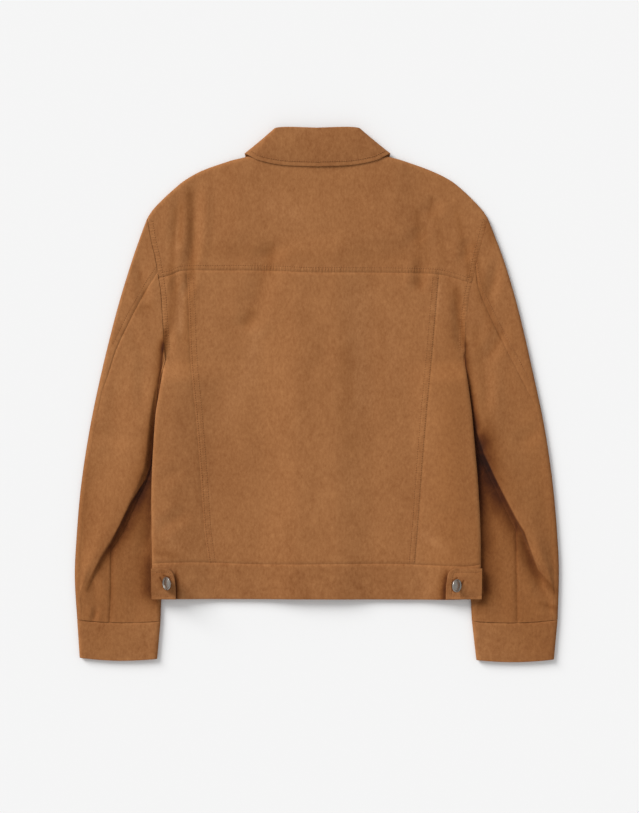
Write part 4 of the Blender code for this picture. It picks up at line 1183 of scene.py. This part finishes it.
# %% A flattened sleeve
class Sleeve:
    """A flattened tube. A point on it has a section k and a girth q in millimetres: q runs from the
    outer fold over the top to the inner fold, and on below; negative q runs back below."""

    def __init__(self, hand, edges):
        self.hand = hand
        self.column = 1 if hand < 0 else 2
        self.edges = [(float(k), *row) for k, row in enumerate(edges)]
        self.last = float(len(edges) - 1)

    def section(self, k):
        """Everything that one section needs, worked out once."""
        ox, oy, ix, iy = (float(along(self.edges, k, column)) for column in (1, 2, 3, 4))
        self.k, self.outer, self.inner = k, np.array((ox, oy)), np.array((ix, iy))
        self.width = float(np.linalg.norm(self.inner - self.outer))
        self.fold = max(16.0, self.crossing(ELBOW_FOLDS))
        self.depth = float(FOLD_HEIGHT * smooth(k, *FOLD_START) * (1.0 - smooth(k, *FOLD_END)))
        back = self.crossing(BACK_SEAMS)
        beside = EDGE_ROUND + 1.0
        self.back = beside + max(0.0, back - beside) * float(1.0 - smooth(k, 4.6, 5.6))
        shown = self.crossing(FOREARM_SEAMS)
        hidden = min(self.fold + FOLD_SHAPE[-1][0] + 2.5, self.width - EDGE_ROUND - 1.5)
        self.forearm = max(shown, hidden) if k > FOLD_START[1] else hidden

    def flat(self, p):
        """Places in the plane of points p millimetres in from the outer fold."""
        s = p / self.width
        x = self.outer[0] + (self.inner[0] - self.outer[0]) * s
        y = self.outer[1] + (self.inner[1] - self.outer[1]) * s
        bow = max(0.0, 1.0 - self.k / ARMHOLE_BOW_END) ** 2
        if bow > 0.0:
            first = self.edges[0]
            line_x, line_y = first[1] + (first[3] - first[1]) * s, first[2] + (first[4] - first[2]) * s
            x = x + bow * (side_x(self.hand, line_y) + self.hand * 0.2 * SEAM - line_x)
        sag = np.sin(math.pi * np.clip(s, 0.0, 1.0)) * (self.k / self.last) ** 8
        return x, y - CUFF_SAG * sag

    def crossing(self, table):
        """Where the section crosses a line of a table, in from the outer fold."""
        p = np.linspace(0.0, self.width, 240)
        x, y = self.flat(p)
        outside = self.hand * (x - along(table, y, self.column)) > 0.0
        return float(p[np.count_nonzero(outside) - 1]) if outside.any() else 0.0

    def profile(self, q):
        """The section's outline at girths q, as (in from the outer fold, up)."""
        width, half = self.width, SLEEVE_THICK / 2.0
        p = np.where(q < 0.0, -q, np.where(q > width, 2.0 * width - q, q))
        top = (q >= 0.0) & (q <= width)
        start = max(EDGE_ROUND, self.fold - FOLD_SWELL)
        rise = smooth(q, start, self.fold + FOLD_SHAPE[0][0])
        drop = along(FOLD_SHAPE, q - self.fold)
        over = np.where(q < self.fold + FOLD_SHAPE[0][0], rise, drop) * self.depth
        z = np.where(top, SLEEVE_THICK + over, 0.0)
        for centre, way in ((0.0, 1.0), (width, -1.0)):
            turn = (q - centre) / EDGE_ROUND * math.pi / 2.0
            inside = abs(turn) < math.pi / 2.0
            p = np.where(inside, centre + way * EDGE_ROUND * (1.0 - np.cos(turn)), p)
            z = np.where(inside, half + way * half * np.sin(turn), z)
        return p, z

    def points(self, q, inset):
        """The section's points at girths q, at a depth of inset under the outer face."""
        step = 0.15
        p, z = self.profile(q)
        (p1, z1), (p2, z2) = self.profile(q - step), self.profile(q + step)
        length = np.hypot(p2 - p1, z2 - z1)
        p = p + inset * (z2 - z1) / length
        z = z - inset * (p2 - p1) / length
        x, y = self.flat(p)
        return np.stack([x, y, z], 1)

    def grid(self, ks, girths, inset):
        rows = []
        for k in ks:
            self.section(k)
            q = girths()
            row = self.points(q, inset)
            on_top = smooth(np.minimum(q, self.width - q), 0.0, 2.5 * EDGE_ROUND)
            relief = seam_relief(q - self.back, 0.0 * q + row[0, 1] + 40.0 * k, SLEEVE_ROWS)
            relief *= 1.0 - smooth(k, 4.0, 5.2)
            relief += seam_relief(q - self.forearm, 0.0 * q + 33.0 * k, (), groove=1.0)
            lie = 0.5 * waves(row[:, 0], row[:, 1], 70.0, 2.0)
            lie += 0.35 * waves(row[:, 0], row[:, 1], 24.0, 6.0)
            cuff = 0.45 * waves(row[:, 0], 0.0 * q, 9.0, 4.0)
            cuff *= math.exp(-(((self.last - k) / 0.16) ** 2))
            dip = crease_depth(row[:, 0], row[:, 1], SLEEVE_CREASES)
            row[:, 2] += on_top * (relief + lie + cuff - dip)
            rows.append(row)
        return np.array(rows)

    def under_girths(self):
        """Girths of the narrow piece, closest together where the fold drops."""
        start, end = self.back + HALF, self.forearm - HALF
        near, foot = self.fold + FOLD_SHAPE[0][0], self.fold + FOLD_SHAPE[-1][0]
        scale = min(1.0, (end - 1.0 - start) / (foot - start))
        near, foot = start + (near - start) * scale, start + (foot - start) * scale
        return np.concatenate([np.linspace(start, near, 34)[:-1], np.linspace(near, foot, 18)[:-1],
                               np.linspace(foot, end, 12)])

    def top_girths(self):
        """Girths of the wide piece: from the forearm seam round below and over to the back seam."""
        width, start, end = self.width, self.forearm + HALF, self.back - HALF
        turn = EDGE_ROUND * np.sin(np.radians(np.linspace(-90.0, 90.0, 11)))
        return [np.linspace(start, width - EDGE_ROUND, 14)[:-1], width + turn[:-1],
                np.linspace(width + EDGE_ROUND, 2.0 * width - EDGE_ROUND, 22)[:-1],
                2.0 * width + turn[:-1], 2.0 * width + np.linspace(EDGE_ROUND, end, 14)]

    def top_grid(self, ks, inset):
        """The wide piece's rows; past the middle of the underside its girths count back below."""
        def girths():
            q = np.concatenate(self.top_girths())
            return np.where(q > 1.5 * self.width, q - 2.0 * self.width, q)
        return self.grid(ks, girths, inset)


left_sleeve, right_sleeve = Sleeve(-1, SLEEVE_LEFT), Sleeve(1, SLEEVE_RIGHT)
print("a sleeve has", left_sleeve.last, "steps from armhole to cuff")

# %% [markdown]
# Each sleeve's two pieces share their sections and differ only in which girths they take: the
# narrow piece runs between the seams on top, the wide one goes all the way round below.

# %% Both sleeves
SECTIONS = 210


def build_sleeve(label, sleeve):
    """The narrow and the wide piece of one sleeve."""
    ks = np.linspace(0.0, sleeve.last - HALF / 53.0, SECTIONS)
    for part, make in (("under", lambda inset: sleeve.grid(ks, sleeve.under_girths, inset)),
                       ("top", lambda inset: sleeve.top_grid(ks, inset))):
        node = f"sleeve_{part}_{label}"
        faces = [make(inset) for inset in (0.0, CLOTH)]
        piece = shell(node + "_cloth", faces[0], faces[1], main_suede, shadows=SLEEVE_SHADOWS)
        sheet_of(piece, faces[0], node)


build_sleeve("left", left_sleeve)
build_sleeve("right", right_sleeve)

# %% [markdown]
# ## The cuffs
# A cuff is a doubled band sewn into a ring. Pressed flat it has two tight folds, so its section
# is a long rounded slot, and the shell runs all the way round it with no open side.

# %% Both cuffs
def cuff_face(corners, inset, rows=24, turn_points=9, flat_points=36):
    """One face of a cuff, at a depth under its outer face."""
    upper, lower = (np.array(row) for row in corners)
    half = CUFF_THICK / 2.0
    width = float(np.linalg.norm(upper[2:] - upper[:2]))
    turn = np.radians(np.linspace(-90.0, 90.0, turn_points))
    curve_p = inset + (EDGE_ROUND - inset) * (1.0 - np.cos(turn))
    curve_z = half + (half - inset) * np.sin(turn)
    run = np.linspace(EDGE_ROUND, width - EDGE_ROUND, flat_points)[1:-1]
    p = np.concatenate([curve_p, run, width - curve_p, run[::-1]])
    z = np.concatenate([curve_z, 0 * run + CUFF_THICK - inset, curve_z[::-1], 0 * run + inset])
    grid = []
    for v in np.linspace(0.0, 1.0, rows):
        row = upper * (1.0 - v) + lower * v
        s = p / width
        x = row[0] + (row[2] - row[0]) * s
        y = row[1] + (row[3] - row[1]) * s
        y = y - CUFF_SAG * np.sin(math.pi * np.clip(s, 0.0, 1.0)) - SEAM * (1.0 - v)
        on_top = smooth(z, half, CUFF_THICK - inset) * smooth(np.minimum(p, width - p), 0.0, 8.0)
        seam = -0.8 * math.exp(-((v * 53.0 / 1.6) ** 2)) - 0.25 * math.exp(-(((v - 0.94) * 18.0) ** 2))
        pucker = 0.4 * waves(x, 0.0 * x, 8.0, 7.0) * math.exp(-((v * 53.0 / 7.0) ** 2))
        lie = 0.4 * waves(x, y, 30.0, 8.0)
        grid.append(np.stack([x, y, z + on_top * (seam + pucker + lie)], 1))
    return np.array(grid)


for label, corners in (("left", CUFF_LEFT), ("right", CUFF_RIGHT)):
    faces = [cuff_face(corners, inset) for inset in (0.0, DOUBLED)]
    piece = shell(f"cuff_{label}_cloth", faces[0], faces[1], band_suede, closed=True, soften=0.5)
    ring = np.concatenate([faces[0], faces[0][:, :1]], 1)
    sheet_of(piece, ring, f"cuff_{label}")

# %% [markdown]
# ## The collar
# A collar is a stand that rises from the neck seam and a fall that turns over it. Laid flat, both
# are one folded strip: the back half lies on top, the points lie below. Its path in each section
# goes up the stand, round the roll and down the fall, and the sections are set round the neck.

# %% The folded collar
def collar_section(hand, k):
    """A section's places of neck seam, roll and edge, and its outward direction."""
    table = [(float(number), *row) for number, row in enumerate(COLLAR)]
    nx, ny, rx, ry, ex, ey, z, turn = (float(along(table, k, column)) for column in range(1, 9))
    scale = -hand if hand < 0 else -COLLAR_RIGHT
    neck, roll, edge = (np.array((x * scale, y, z)) for x, y in ((nx, ny), (rx, ry), (ex, ey)))
    slope = roll - edge
    aside = np.array((hand * abs(slope[1]), abs(slope[0]), 0.0))
    aside /= np.linalg.norm(aside)
    turn = math.radians(turn)
    outward = aside * math.sin(turn) + np.array((0.0, 0.0, math.cos(turn)))
    return neck, roll, edge, outward / np.linalg.norm(outward)


print("collar's roll at the middle:", [round(float(v), 1) for v in collar_section(1, 0.0)[1]], "mm")

# %% [markdown]
# Only the fall's top side shows. It droops a little at its edge, and along its one row of stitches
# it is pulled in and puckers, most of all at the middle, where the fall is stretched least.

# %% The collar's two faces
def collar_faces():
    """Both faces of the collar, section by section from one point round to the other."""
    radius = (DOUBLED + COLLAR_PLY_GAP) / 2.0
    ks = np.linspace(0.0, len(COLLAR) - 1.0, 105)
    stations = [(1, k) for k in ks[::-1]] + [(-1, k) for k in ks[1:]]
    outer, inner = [], []
    for hand, k in stations:
        neck, roll, edge, outward = collar_section(hand, k)
        up = roll - (neck + edge) / 2.0
        up -= outward * np.dot(up, outward)
        up /= np.linalg.norm(up)
        centre = roll - up * (radius + DOUBLED / 2.0)
        path = [(neck + (centre - neck) * part - outward * radius, -outward, 0.0, 0.0)
                for part in np.linspace(0.0, 1.0, 9)]
        for angle in np.radians(np.linspace(-90.0, 90.0, 11))[1:-1]:
            way = up * math.cos(angle) + outward * math.sin(angle)
            path.append((centre + way * radius, way, 0.0, 0.0))
        length = float(np.linalg.norm(edge - centre))
        for part in np.linspace(0.0, 1.0, 28):
            point = centre + (edge - centre) * part + outward * radius
            path.append((point, outward, (1.0 - part) * length, smooth(part, 0.0, 0.2)))
        showing = smooth(outward[2], 0.3, 0.9)
        row_out, row_in = [], []
        for point, way, from_edge, soft in path:
            run = point[0]
            row_near = math.exp(-(((from_edge - COLLAR_ROW) / 1.2) ** 2))
            pull = math.exp(-(((from_edge - COLLAR_ROW) / 5.5) ** 2))
            tug = float(waves(run, 0.0, 6.5, 11.0)) * (0.4 + math.exp(-((run / 22.0) ** 2)))
            lie = 0.5 * float(waves(run, point[1], 42.0, 12.0))
            droop = -1.5 * showing * math.exp(-((from_edge / 14.0) ** 2))
            rise = droop + soft * showing * (0.45 * pull * tug - 0.2 * row_near + lie)
            row_out.append(point + way * (DOUBLED / 2.0 + rise))
            row_in.append(point - way * (DOUBLED / 2.0 - rise))
        outer.append(row_out)
        inner.append(row_in)
    return np.array(outer), np.array(inner)


collar_out, collar_in = collar_faces()
collar = shell("collar_cloth", collar_out, collar_in, band_suede, soften=0.5)
sheet_of(collar, collar_out, "collar")

# %% [markdown]
# ## The waist tabs
# A tab is a small doubled strap that draws the hem in. It lies on the waistband, so its points are
# the band's points moved out by its own thickness, and it follows every curve of the band.

# %% Both tabs
def tab_face(hand, height, across=60, down=48):
    """One face of a tab, at a height over the waistband."""
    u, v = np.meshgrid(np.linspace(0.0, 1.0, across), np.linspace(0.0, 1.0, down))
    y = TAB_ENDS[0][0] * (1.0 - v) + TAB_ENDS[-1][0] * v
    side = side_x(hand, y) + hand * TAB_OVERHANG
    x = side * (1.0 - u) + along(TAB_ENDS, y, 1 if hand < 0 else 2) * u
    rim = np.minimum(np.minimum(v, 1.0 - v) * 43.0, (1.0 - u) * 34.0)
    row = -0.3 * np.exp(-(((rim - 5.0) / 1.1) ** 2)) + 0.35 * smooth(rim, 5.5, 11.0)
    lie = 0.3 * waves(x, y, 16.0, 15.0)
    top = 1.0 if height > SEAM else 0.0
    z = body_floor(x, y) + BODY_THICK + height + top * (row + lie) + 0.8 * smooth(u, 0.72, 1.0)
    return np.stack([x, y, z], 2)


for hand, label in ((-1, "left"), (1, "right")):
    faces = [tab_face(hand, height) for height in (SEAM + DOUBLED, SEAM)]
    piece = shell(f"tab_{label}_cloth", faces[0], faces[1], band_suede, soften=0.6)
    sheet_of(piece, faces[0], f"tab_{label}")

# %% [markdown]
# ## Topstitching
# The rows of stitches are thread of the suede's own colour, about eight stitches to the inch.
# One stitch is a small rounded bar whose ends dive into the cloth. It is modelled once and
# repeated along each row, and each row is joined into one mesh, so the jacket has no thousands of
# objects. The rows ride on the shells: their height is read from the cloth under them.

# %% Rows of stitches
STITCH = 2.7           # length of a stitch
STITCH_STEP = 3.3      # from one stitch to the next
THREAD = 0.5           # half the thread's width


def stitch_rows(name, routes):
    """Stitches along routes; each route is an array of points on the cloth in millimetres."""
    vertices, faces = [], []
    for route in routes:
        steps = np.linalg.norm(np.diff(route, axis=0), axis=1)
        run = np.concatenate([[0.0], np.cumsum(steps)])
        for start in np.arange(0.6, run[-1] - STITCH, STITCH_STEP):
            base = len(vertices)
            parts = (0.0, 0.2, 0.5, 0.8, 1.0)
            points = np.array([[np.interp(start + STITCH * part, run, route[:, axis])
                                for axis in range(3)] for part in parts])
            way = points[-1] - points[0]
            aside = np.array((-way[1], way[0], 0.0))
            aside /= np.linalg.norm(aside)
            for point, lift in zip(points, (-0.55, 0.05, 0.22, 0.05, -0.55)):
                for side, up in ((-1.0, 0.0), (-0.6, 0.75), (0.6, 0.75), (1.0, 0.0), (0.0, -0.8)):
                    corner = point + aside * THREAD * side
                    corner[2] += lift + THREAD * up
                    vertices.append(tuple(corner * MM))
            for ring in range(4):
                for k in range(5):
                    n = (k + 1) % 5
                    a, b = base + ring * 5 + k, base + ring * 5 + n
                    faces.append((a, b, b + 5, a + 5))
            faces.append(tuple(base + k for k in range(4, -1, -1)))
            faces.append(tuple(base + 20 + k for k in range(5)))
    mesh = bpy.data.meshes.new(name)
    mesh.from_pydata(vertices, [], faces)
    bm = bmesh.new()
    bm.from_mesh(mesh)
    bmesh.ops.recalc_face_normals(bm, faces=bm.faces)
    bm.to_mesh(mesh)
    bm.free()
    mesh.materials.append(thread_suede)
    piece = bpy.data.objects.new(name, mesh)
    bpy.context.collection.objects.link(piece)
    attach(piece, "root")
    print(f"{name}: {len(faces) // 22} stitches")
    return piece


print("stitches", STITCH, "mm long, one every", STITCH_STEP, "mm")

# %% [markdown]
# The yoke and the armholes carry one row of stitches, the two long seams two. All of them lie on
# the back, so their height is that of the back's outer face.

# %% The stitches of the back
def on_back(x, y):
    """Points on the back's outer face, relief and creases included."""
    return body_face("back", x[None, :], y[None, :], 0.0, False, False)[0]


def straight(start, end, spacing=1.6):
    """Even places from start to end, in millimetres."""
    return np.linspace(start, end, max(8, int(abs(end - start) / spacing)))


x = straight(-219.0, 214.0)
yoke_route = on_back(x, along(YOKE_SEAM, x) + YOKE_ROWS[0])
SEWN = {"back_yoke": [stitch_rows("yoke_stitches", [yoke_route])]}

long_routes = []
for hand in (-1, 1):
    y = straight(-236.0, 167.0)
    seam = along(LONG_SEAMS, y, 1 if hand < 0 else 2)
    for row in LONG_ROWS:
        long_routes.append(on_back(seam - hand * row, y))
SEWN["back_center"] = [stitch_rows("long_seam_stitches", long_routes)]

arm_routes = []
for hand in (-1, 1):
    y = straight(62.0, 245.0)
    arm_routes.append(on_back(side_x(hand, y) - hand * ARMHOLE_ROWS[0], y))
SEWN["back_yoke"].append(stitch_rows("armhole_stitches", arm_routes))

# %% [markdown]
# On a sleeve the row lies beside its back seam, as far down as the seam shows. On the collar and
# the tabs it follows the edge at the same distance all along, so it is read off their own grids.

# %% The stitches of the sleeves, the collar and the tabs
def sleeve_route(sleeve, row, first, last):
    """Points on a sleeve beside its back seam, between two sections."""
    route = []
    for k in np.linspace(first, last, 200):
        sleeve.section(k)
        q = np.array([sleeve.back + row])
        if q[0] < EDGE_ROUND:
            break
        route.append(sleeve.grid([k], lambda: q, 0.0)[0, 0])
    return np.array(route)


for label, sleeve in (("left", left_sleeve), ("right", right_sleeve)):
    route = sleeve_route(sleeve, SLEEVE_ROWS[0], 0.05, 5.0)
    SEWN[f"sleeve_top_{label}"] = [stitch_rows(f"sleeve_stitches_{label}", [route])]


def collar_route(from_edge):
    """Points along the fall's edge where it shows, at a distance inside it."""
    edge, inside = collar_out[:, -1], collar_out[:, -6]
    way = inside - edge
    way /= np.linalg.norm(way, axis=1)[:, None]
    route = edge + way * from_edge
    shows = (route[:, 2] > CUFF_THICK + 1.5) & (route[:, 1] > 300.0)
    return route[shows]


SEWN["collar"] = [stitch_rows("collar_stitches", [collar_route(COLLAR_ROW)])]

for hand, label in ((-1, "left"), (1, "right")):
    face = tab_face(hand, SEAM + DOUBLED, 60, 80)
    inner_x, low, high = 51, 9, 70
    loop = np.concatenate([face[low, 6:inner_x], face[low:high, inner_x],
                           face[high, inner_x:6:-1]])
    SEWN[f"tab_{label}"] = [stitch_rows(f"tab_stitches_{label}", [loop])]

# %% [markdown]
# ## What each sheet lies on
# Laid out, the back's panels lie on the fronts, the collar on the yoke and the tabs on the
# waistband. A sleeve is a tube, so its pieces' cuts count all round it, and the collar's cut is
# its stand and its fall in one.

# %% [markdown]
# ## The buttons
# The tab buttons are plain metal shank buttons: a disc with a raised rim round a shallow dish, and
# a shank that goes through the strap. One is modelled from a cylinder primitive: its face is inset
# and sunk for the dish, the rim is beveled, and the back face is inset and drawn out for the shank.

# The metal is darkened silver. Its tint and roughness follow one fine noise.

# %% Antique silver
def button_metal():
    """Darkened silver: bright where wear polishes it, brown where the patina stays."""
    material = bpy.data.materials.new("antique silver")
    material.use_nodes = True
    nodes, links = material.node_tree.nodes, material.node_tree.links
    shader = nodes["Principled BSDF"]
    shader.inputs["Metallic"].default_value = 1.0
    place = nodes.new("ShaderNodeTexCoord")
    grain = nodes.new("ShaderNodeTexNoise")
    grain.inputs["Scale"].default_value = 900.0
    grain.inputs["Detail"].default_value = 5.0
    links.new(place.outputs["Object"], grain.inputs["Vector"])
    tint = nodes.new("ShaderNodeMix")
    tint.data_type = "RGBA"
    tint.inputs[6].default_value = (0.055, 0.047, 0.038, 1.0)
    tint.inputs[7].default_value = (0.62, 0.59, 0.54, 1.0)
    links.new(grain.outputs["Fac"], tint.inputs[0])
    links.new(tint.outputs[2], shader.inputs["Base Color"])
    rough = nodes.new("ShaderNodeMapRange")
    rough.inputs["To Min"].default_value = 0.24
    rough.inputs["To Max"].default_value = 0.46
    links.new(grain.outputs["Fac"], rough.inputs["Value"])
    links.new(rough.outputs["Result"], shader.inputs["Roughness"])
    return material


antique = button_metal()
print("metal ready:", antique.name)

# %% [markdown]
# Faces are chosen by where their middle lies and which way they look, never by their number, so
# the same steps work on a button of any size. The rim's bevel catches the light as a thin ring.

# %% A button from a cylinder
def pick_faces(piece, chosen):
    """Selects the faces whose centre and normal pass the test, for the edit-mode operators."""
    bpy.ops.object.mode_set(mode="OBJECT")
    mesh = piece.data
    for group in (mesh.vertices, mesh.edges, mesh.polygons):
        group.foreach_set("select", np.zeros(len(group), bool))
    for face in mesh.polygons:
        face.select = bool(chosen(face.center, face.normal))
    bpy.ops.object.mode_set(mode="EDIT")
    bpy.ops.mesh.select_mode(type="FACE")


def button_at(name, radius, thick, shank_radius, shank, material):
    """A shank button whose face looks along +Z, its middle plane at z = 0."""
    bpy.ops.object.select_all(action="DESELECT")
    bpy.ops.mesh.primitive_cylinder_add(vertices=64, radius=radius, depth=thick)
    piece = bpy.context.object
    piece.name = name
    bpy.ops.object.mode_set(mode="EDIT")
    pick_faces(piece, lambda c, n: n.z > 0.9)
    bpy.ops.mesh.inset(thickness=radius * 0.15, depth=0.0)
    bpy.ops.mesh.inset(thickness=radius * 0.09, depth=-thick * 0.5)
    bpy.ops.mesh.inset(thickness=radius * 0.3, depth=thick * 0.3)
    bpy.ops.mesh.inset(thickness=radius * 0.28, depth=thick * 0.12)
    pick_faces(piece, lambda c, n: n.z < -0.9)
    bpy.ops.mesh.inset(thickness=radius - shank_radius, depth=0.0)
    if shank > 0.0:
        bpy.ops.mesh.extrude_region_move(TRANSFORM_OT_translate={"value": (0.0, 0.0, -shank)})
    pick_faces(piece, lambda c, n: abs(n.z) < 0.3 and math.hypot(c.x, c.y) > radius * 0.97)
    bpy.ops.mesh.select_mode(type="EDGE")
    bpy.ops.mesh.region_to_loop()
    bpy.ops.mesh.bevel(offset=thick * 0.24, segments=4, affect="EDGES")
    bpy.ops.object.mode_set(mode="OBJECT")
    bpy.ops.object.shade_smooth_by_angle(angle=math.radians(38.0))
    piece.data.materials.append(material)
    return piece


def seat(piece, place, lean):
    """Sets a button down at a place in metres, its face leaning about Y, and freezes it there."""
    move = Matrix.Translation(place) @ Matrix.Rotation(lean, 4, "Y")
    piece.data.transform(move)
    piece.data.update()


print("each button is one cylinder, inset, sunk and beveled")

# %% [markdown]
# A tab's button stands on its shank, so it can lean. It is set down over the tab, and leans out
# from the middle of the jacket by the angle in its table.

# %% The two tab buttons
for hand, label, (x, y), lean in ((-1, "left", BUTTON_AT[0], BUTTON_LEAN[0]),
                                  (1, "right", BUTTON_AT[1], BUTTON_LEAN[1])):
    sine = math.sin(math.radians(lean))
    base = float(body_floor(x, y)) + BODY_THICK + SEAM + DOUBLED
    height = base + BUTTON_RADIUS * sine + SEAM + 0.1
    button = button_at(f"tab_button_{label}_metal", 1.05 * BUTTON_RADIUS * MM, 2.2 * MM, 2.2 * MM,
                       5.0 * MM, antique)
    seat(button, (x * MM, y * MM, height * MM), math.radians(hand * lean))
    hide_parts(f"tab_button_{label}")
    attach(button, "root")
    print(button.name, "stands", round(height, 1), "mm up, leaning", lean, "degrees")

# %% [markdown]
# The front's own buttons lie face down under the jacket, and can't be seen from above. They are
# cut from the same primitive, thinner, with no shank to show.

# %% The front buttons
FRONT_RADIUS, FRONT_THICK = 8.6, 2.4

for number, y in enumerate(FRONT_BUTTON_YS, 1):
    button = button_at(f"front_button_{number}_metal", FRONT_RADIUS * MM, FRONT_THICK * MM,
                       2.2 * MM, 0.0, antique)
    seat(button, (0.0, y * MM, FRONT_THICK / 2.0 * MM), math.pi)
    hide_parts(f"front_button_{number}")
    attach(button, "root")


# %% [markdown]
# ## The floor, the light and the camera
# A plain pale floor and one wide, soft light from the upper left give the soft shadow that lies to
# the lower right of everything that stands up. It is a sun lamp with a wide angle, because its
# light is the same all over the floor, where a near lamp would leave a bright corner. An even
# white world fills the rest, so that the suede's colour isn't bent by the set.

# %% A pale floor
bpy.ops.object.select_all(action="DESELECT")
bpy.ops.mesh.primitive_plane_add(size=12.0, location=(0.0, 0.0, -0.0004))
floor = bpy.context.object
floor.name = "floor"
paper = bpy.data.materials.new("pale paper")
paper.use_nodes = True
for socket, value in (("Base Color", (0.86, 0.86, 0.86, 1.0)), ("Roughness", 0.9),
                      ("Specular IOR Level", 0.1)):
    paper.node_tree.nodes["Principled BSDF"].inputs[socket].default_value = value
floor.data.materials.append(paper)
print("floor 12 m wide, just under the cloth")

# %% [markdown]
# The lamp's strength and the world's are set against each other: more lamp makes the creases
# harder, more world makes them fade. Its angle of 30 degrees gives shadows their wide, soft edge.

# %% Soft studio light
KEY_POWER, KEY_ANGLE = 3.5, 30.0
WORLD_POWER = 0.58
bpy.ops.object.light_add(type="SUN", location=(-2.0, 1.8, 1.3))
key = bpy.context.object
key.name = "key"
key.data.energy = KEY_POWER
key.data.angle = math.radians(KEY_ANGLE)
key.rotation_euler = (-key.location).to_track_quat("-Z", "Y").to_euler()
world = bpy.data.worlds.new("even grey")
world.use_nodes = True
world.node_tree.nodes["Background"].inputs["Color"].default_value = (1.0, 1.0, 1.0, 1.0)
world.node_tree.nodes["Background"].inputs["Strength"].default_value = WORLD_POWER
bpy.context.scene.world = world
bpy.context.scene.view_settings.view_transform = "Standard"
print("key", KEY_POWER, "world", WORLD_POWER)

# %% [markdown]
# The jacket is seen from straight above, through a long lens from well up, so that its outline
# is hardly bent by perspective. A camera that isn't turned at all looks straight down.

# %% The camera looks straight down
CAMERA_PLACE = (0.0038, -0.0169, 2.697)
bpy.ops.object.camera_add(location=CAMERA_PLACE, rotation=(0.0, 0.0, 0.0))
camera = bpy.context.object
camera.data.lens = 85.0
camera.data.sensor_width = 36.0
camera.data.dof.use_dof = False
bpy.context.scene.camera = camera
print("camera", CAMERA_PLACE[2], "m up, lens", camera.data.lens, "mm")
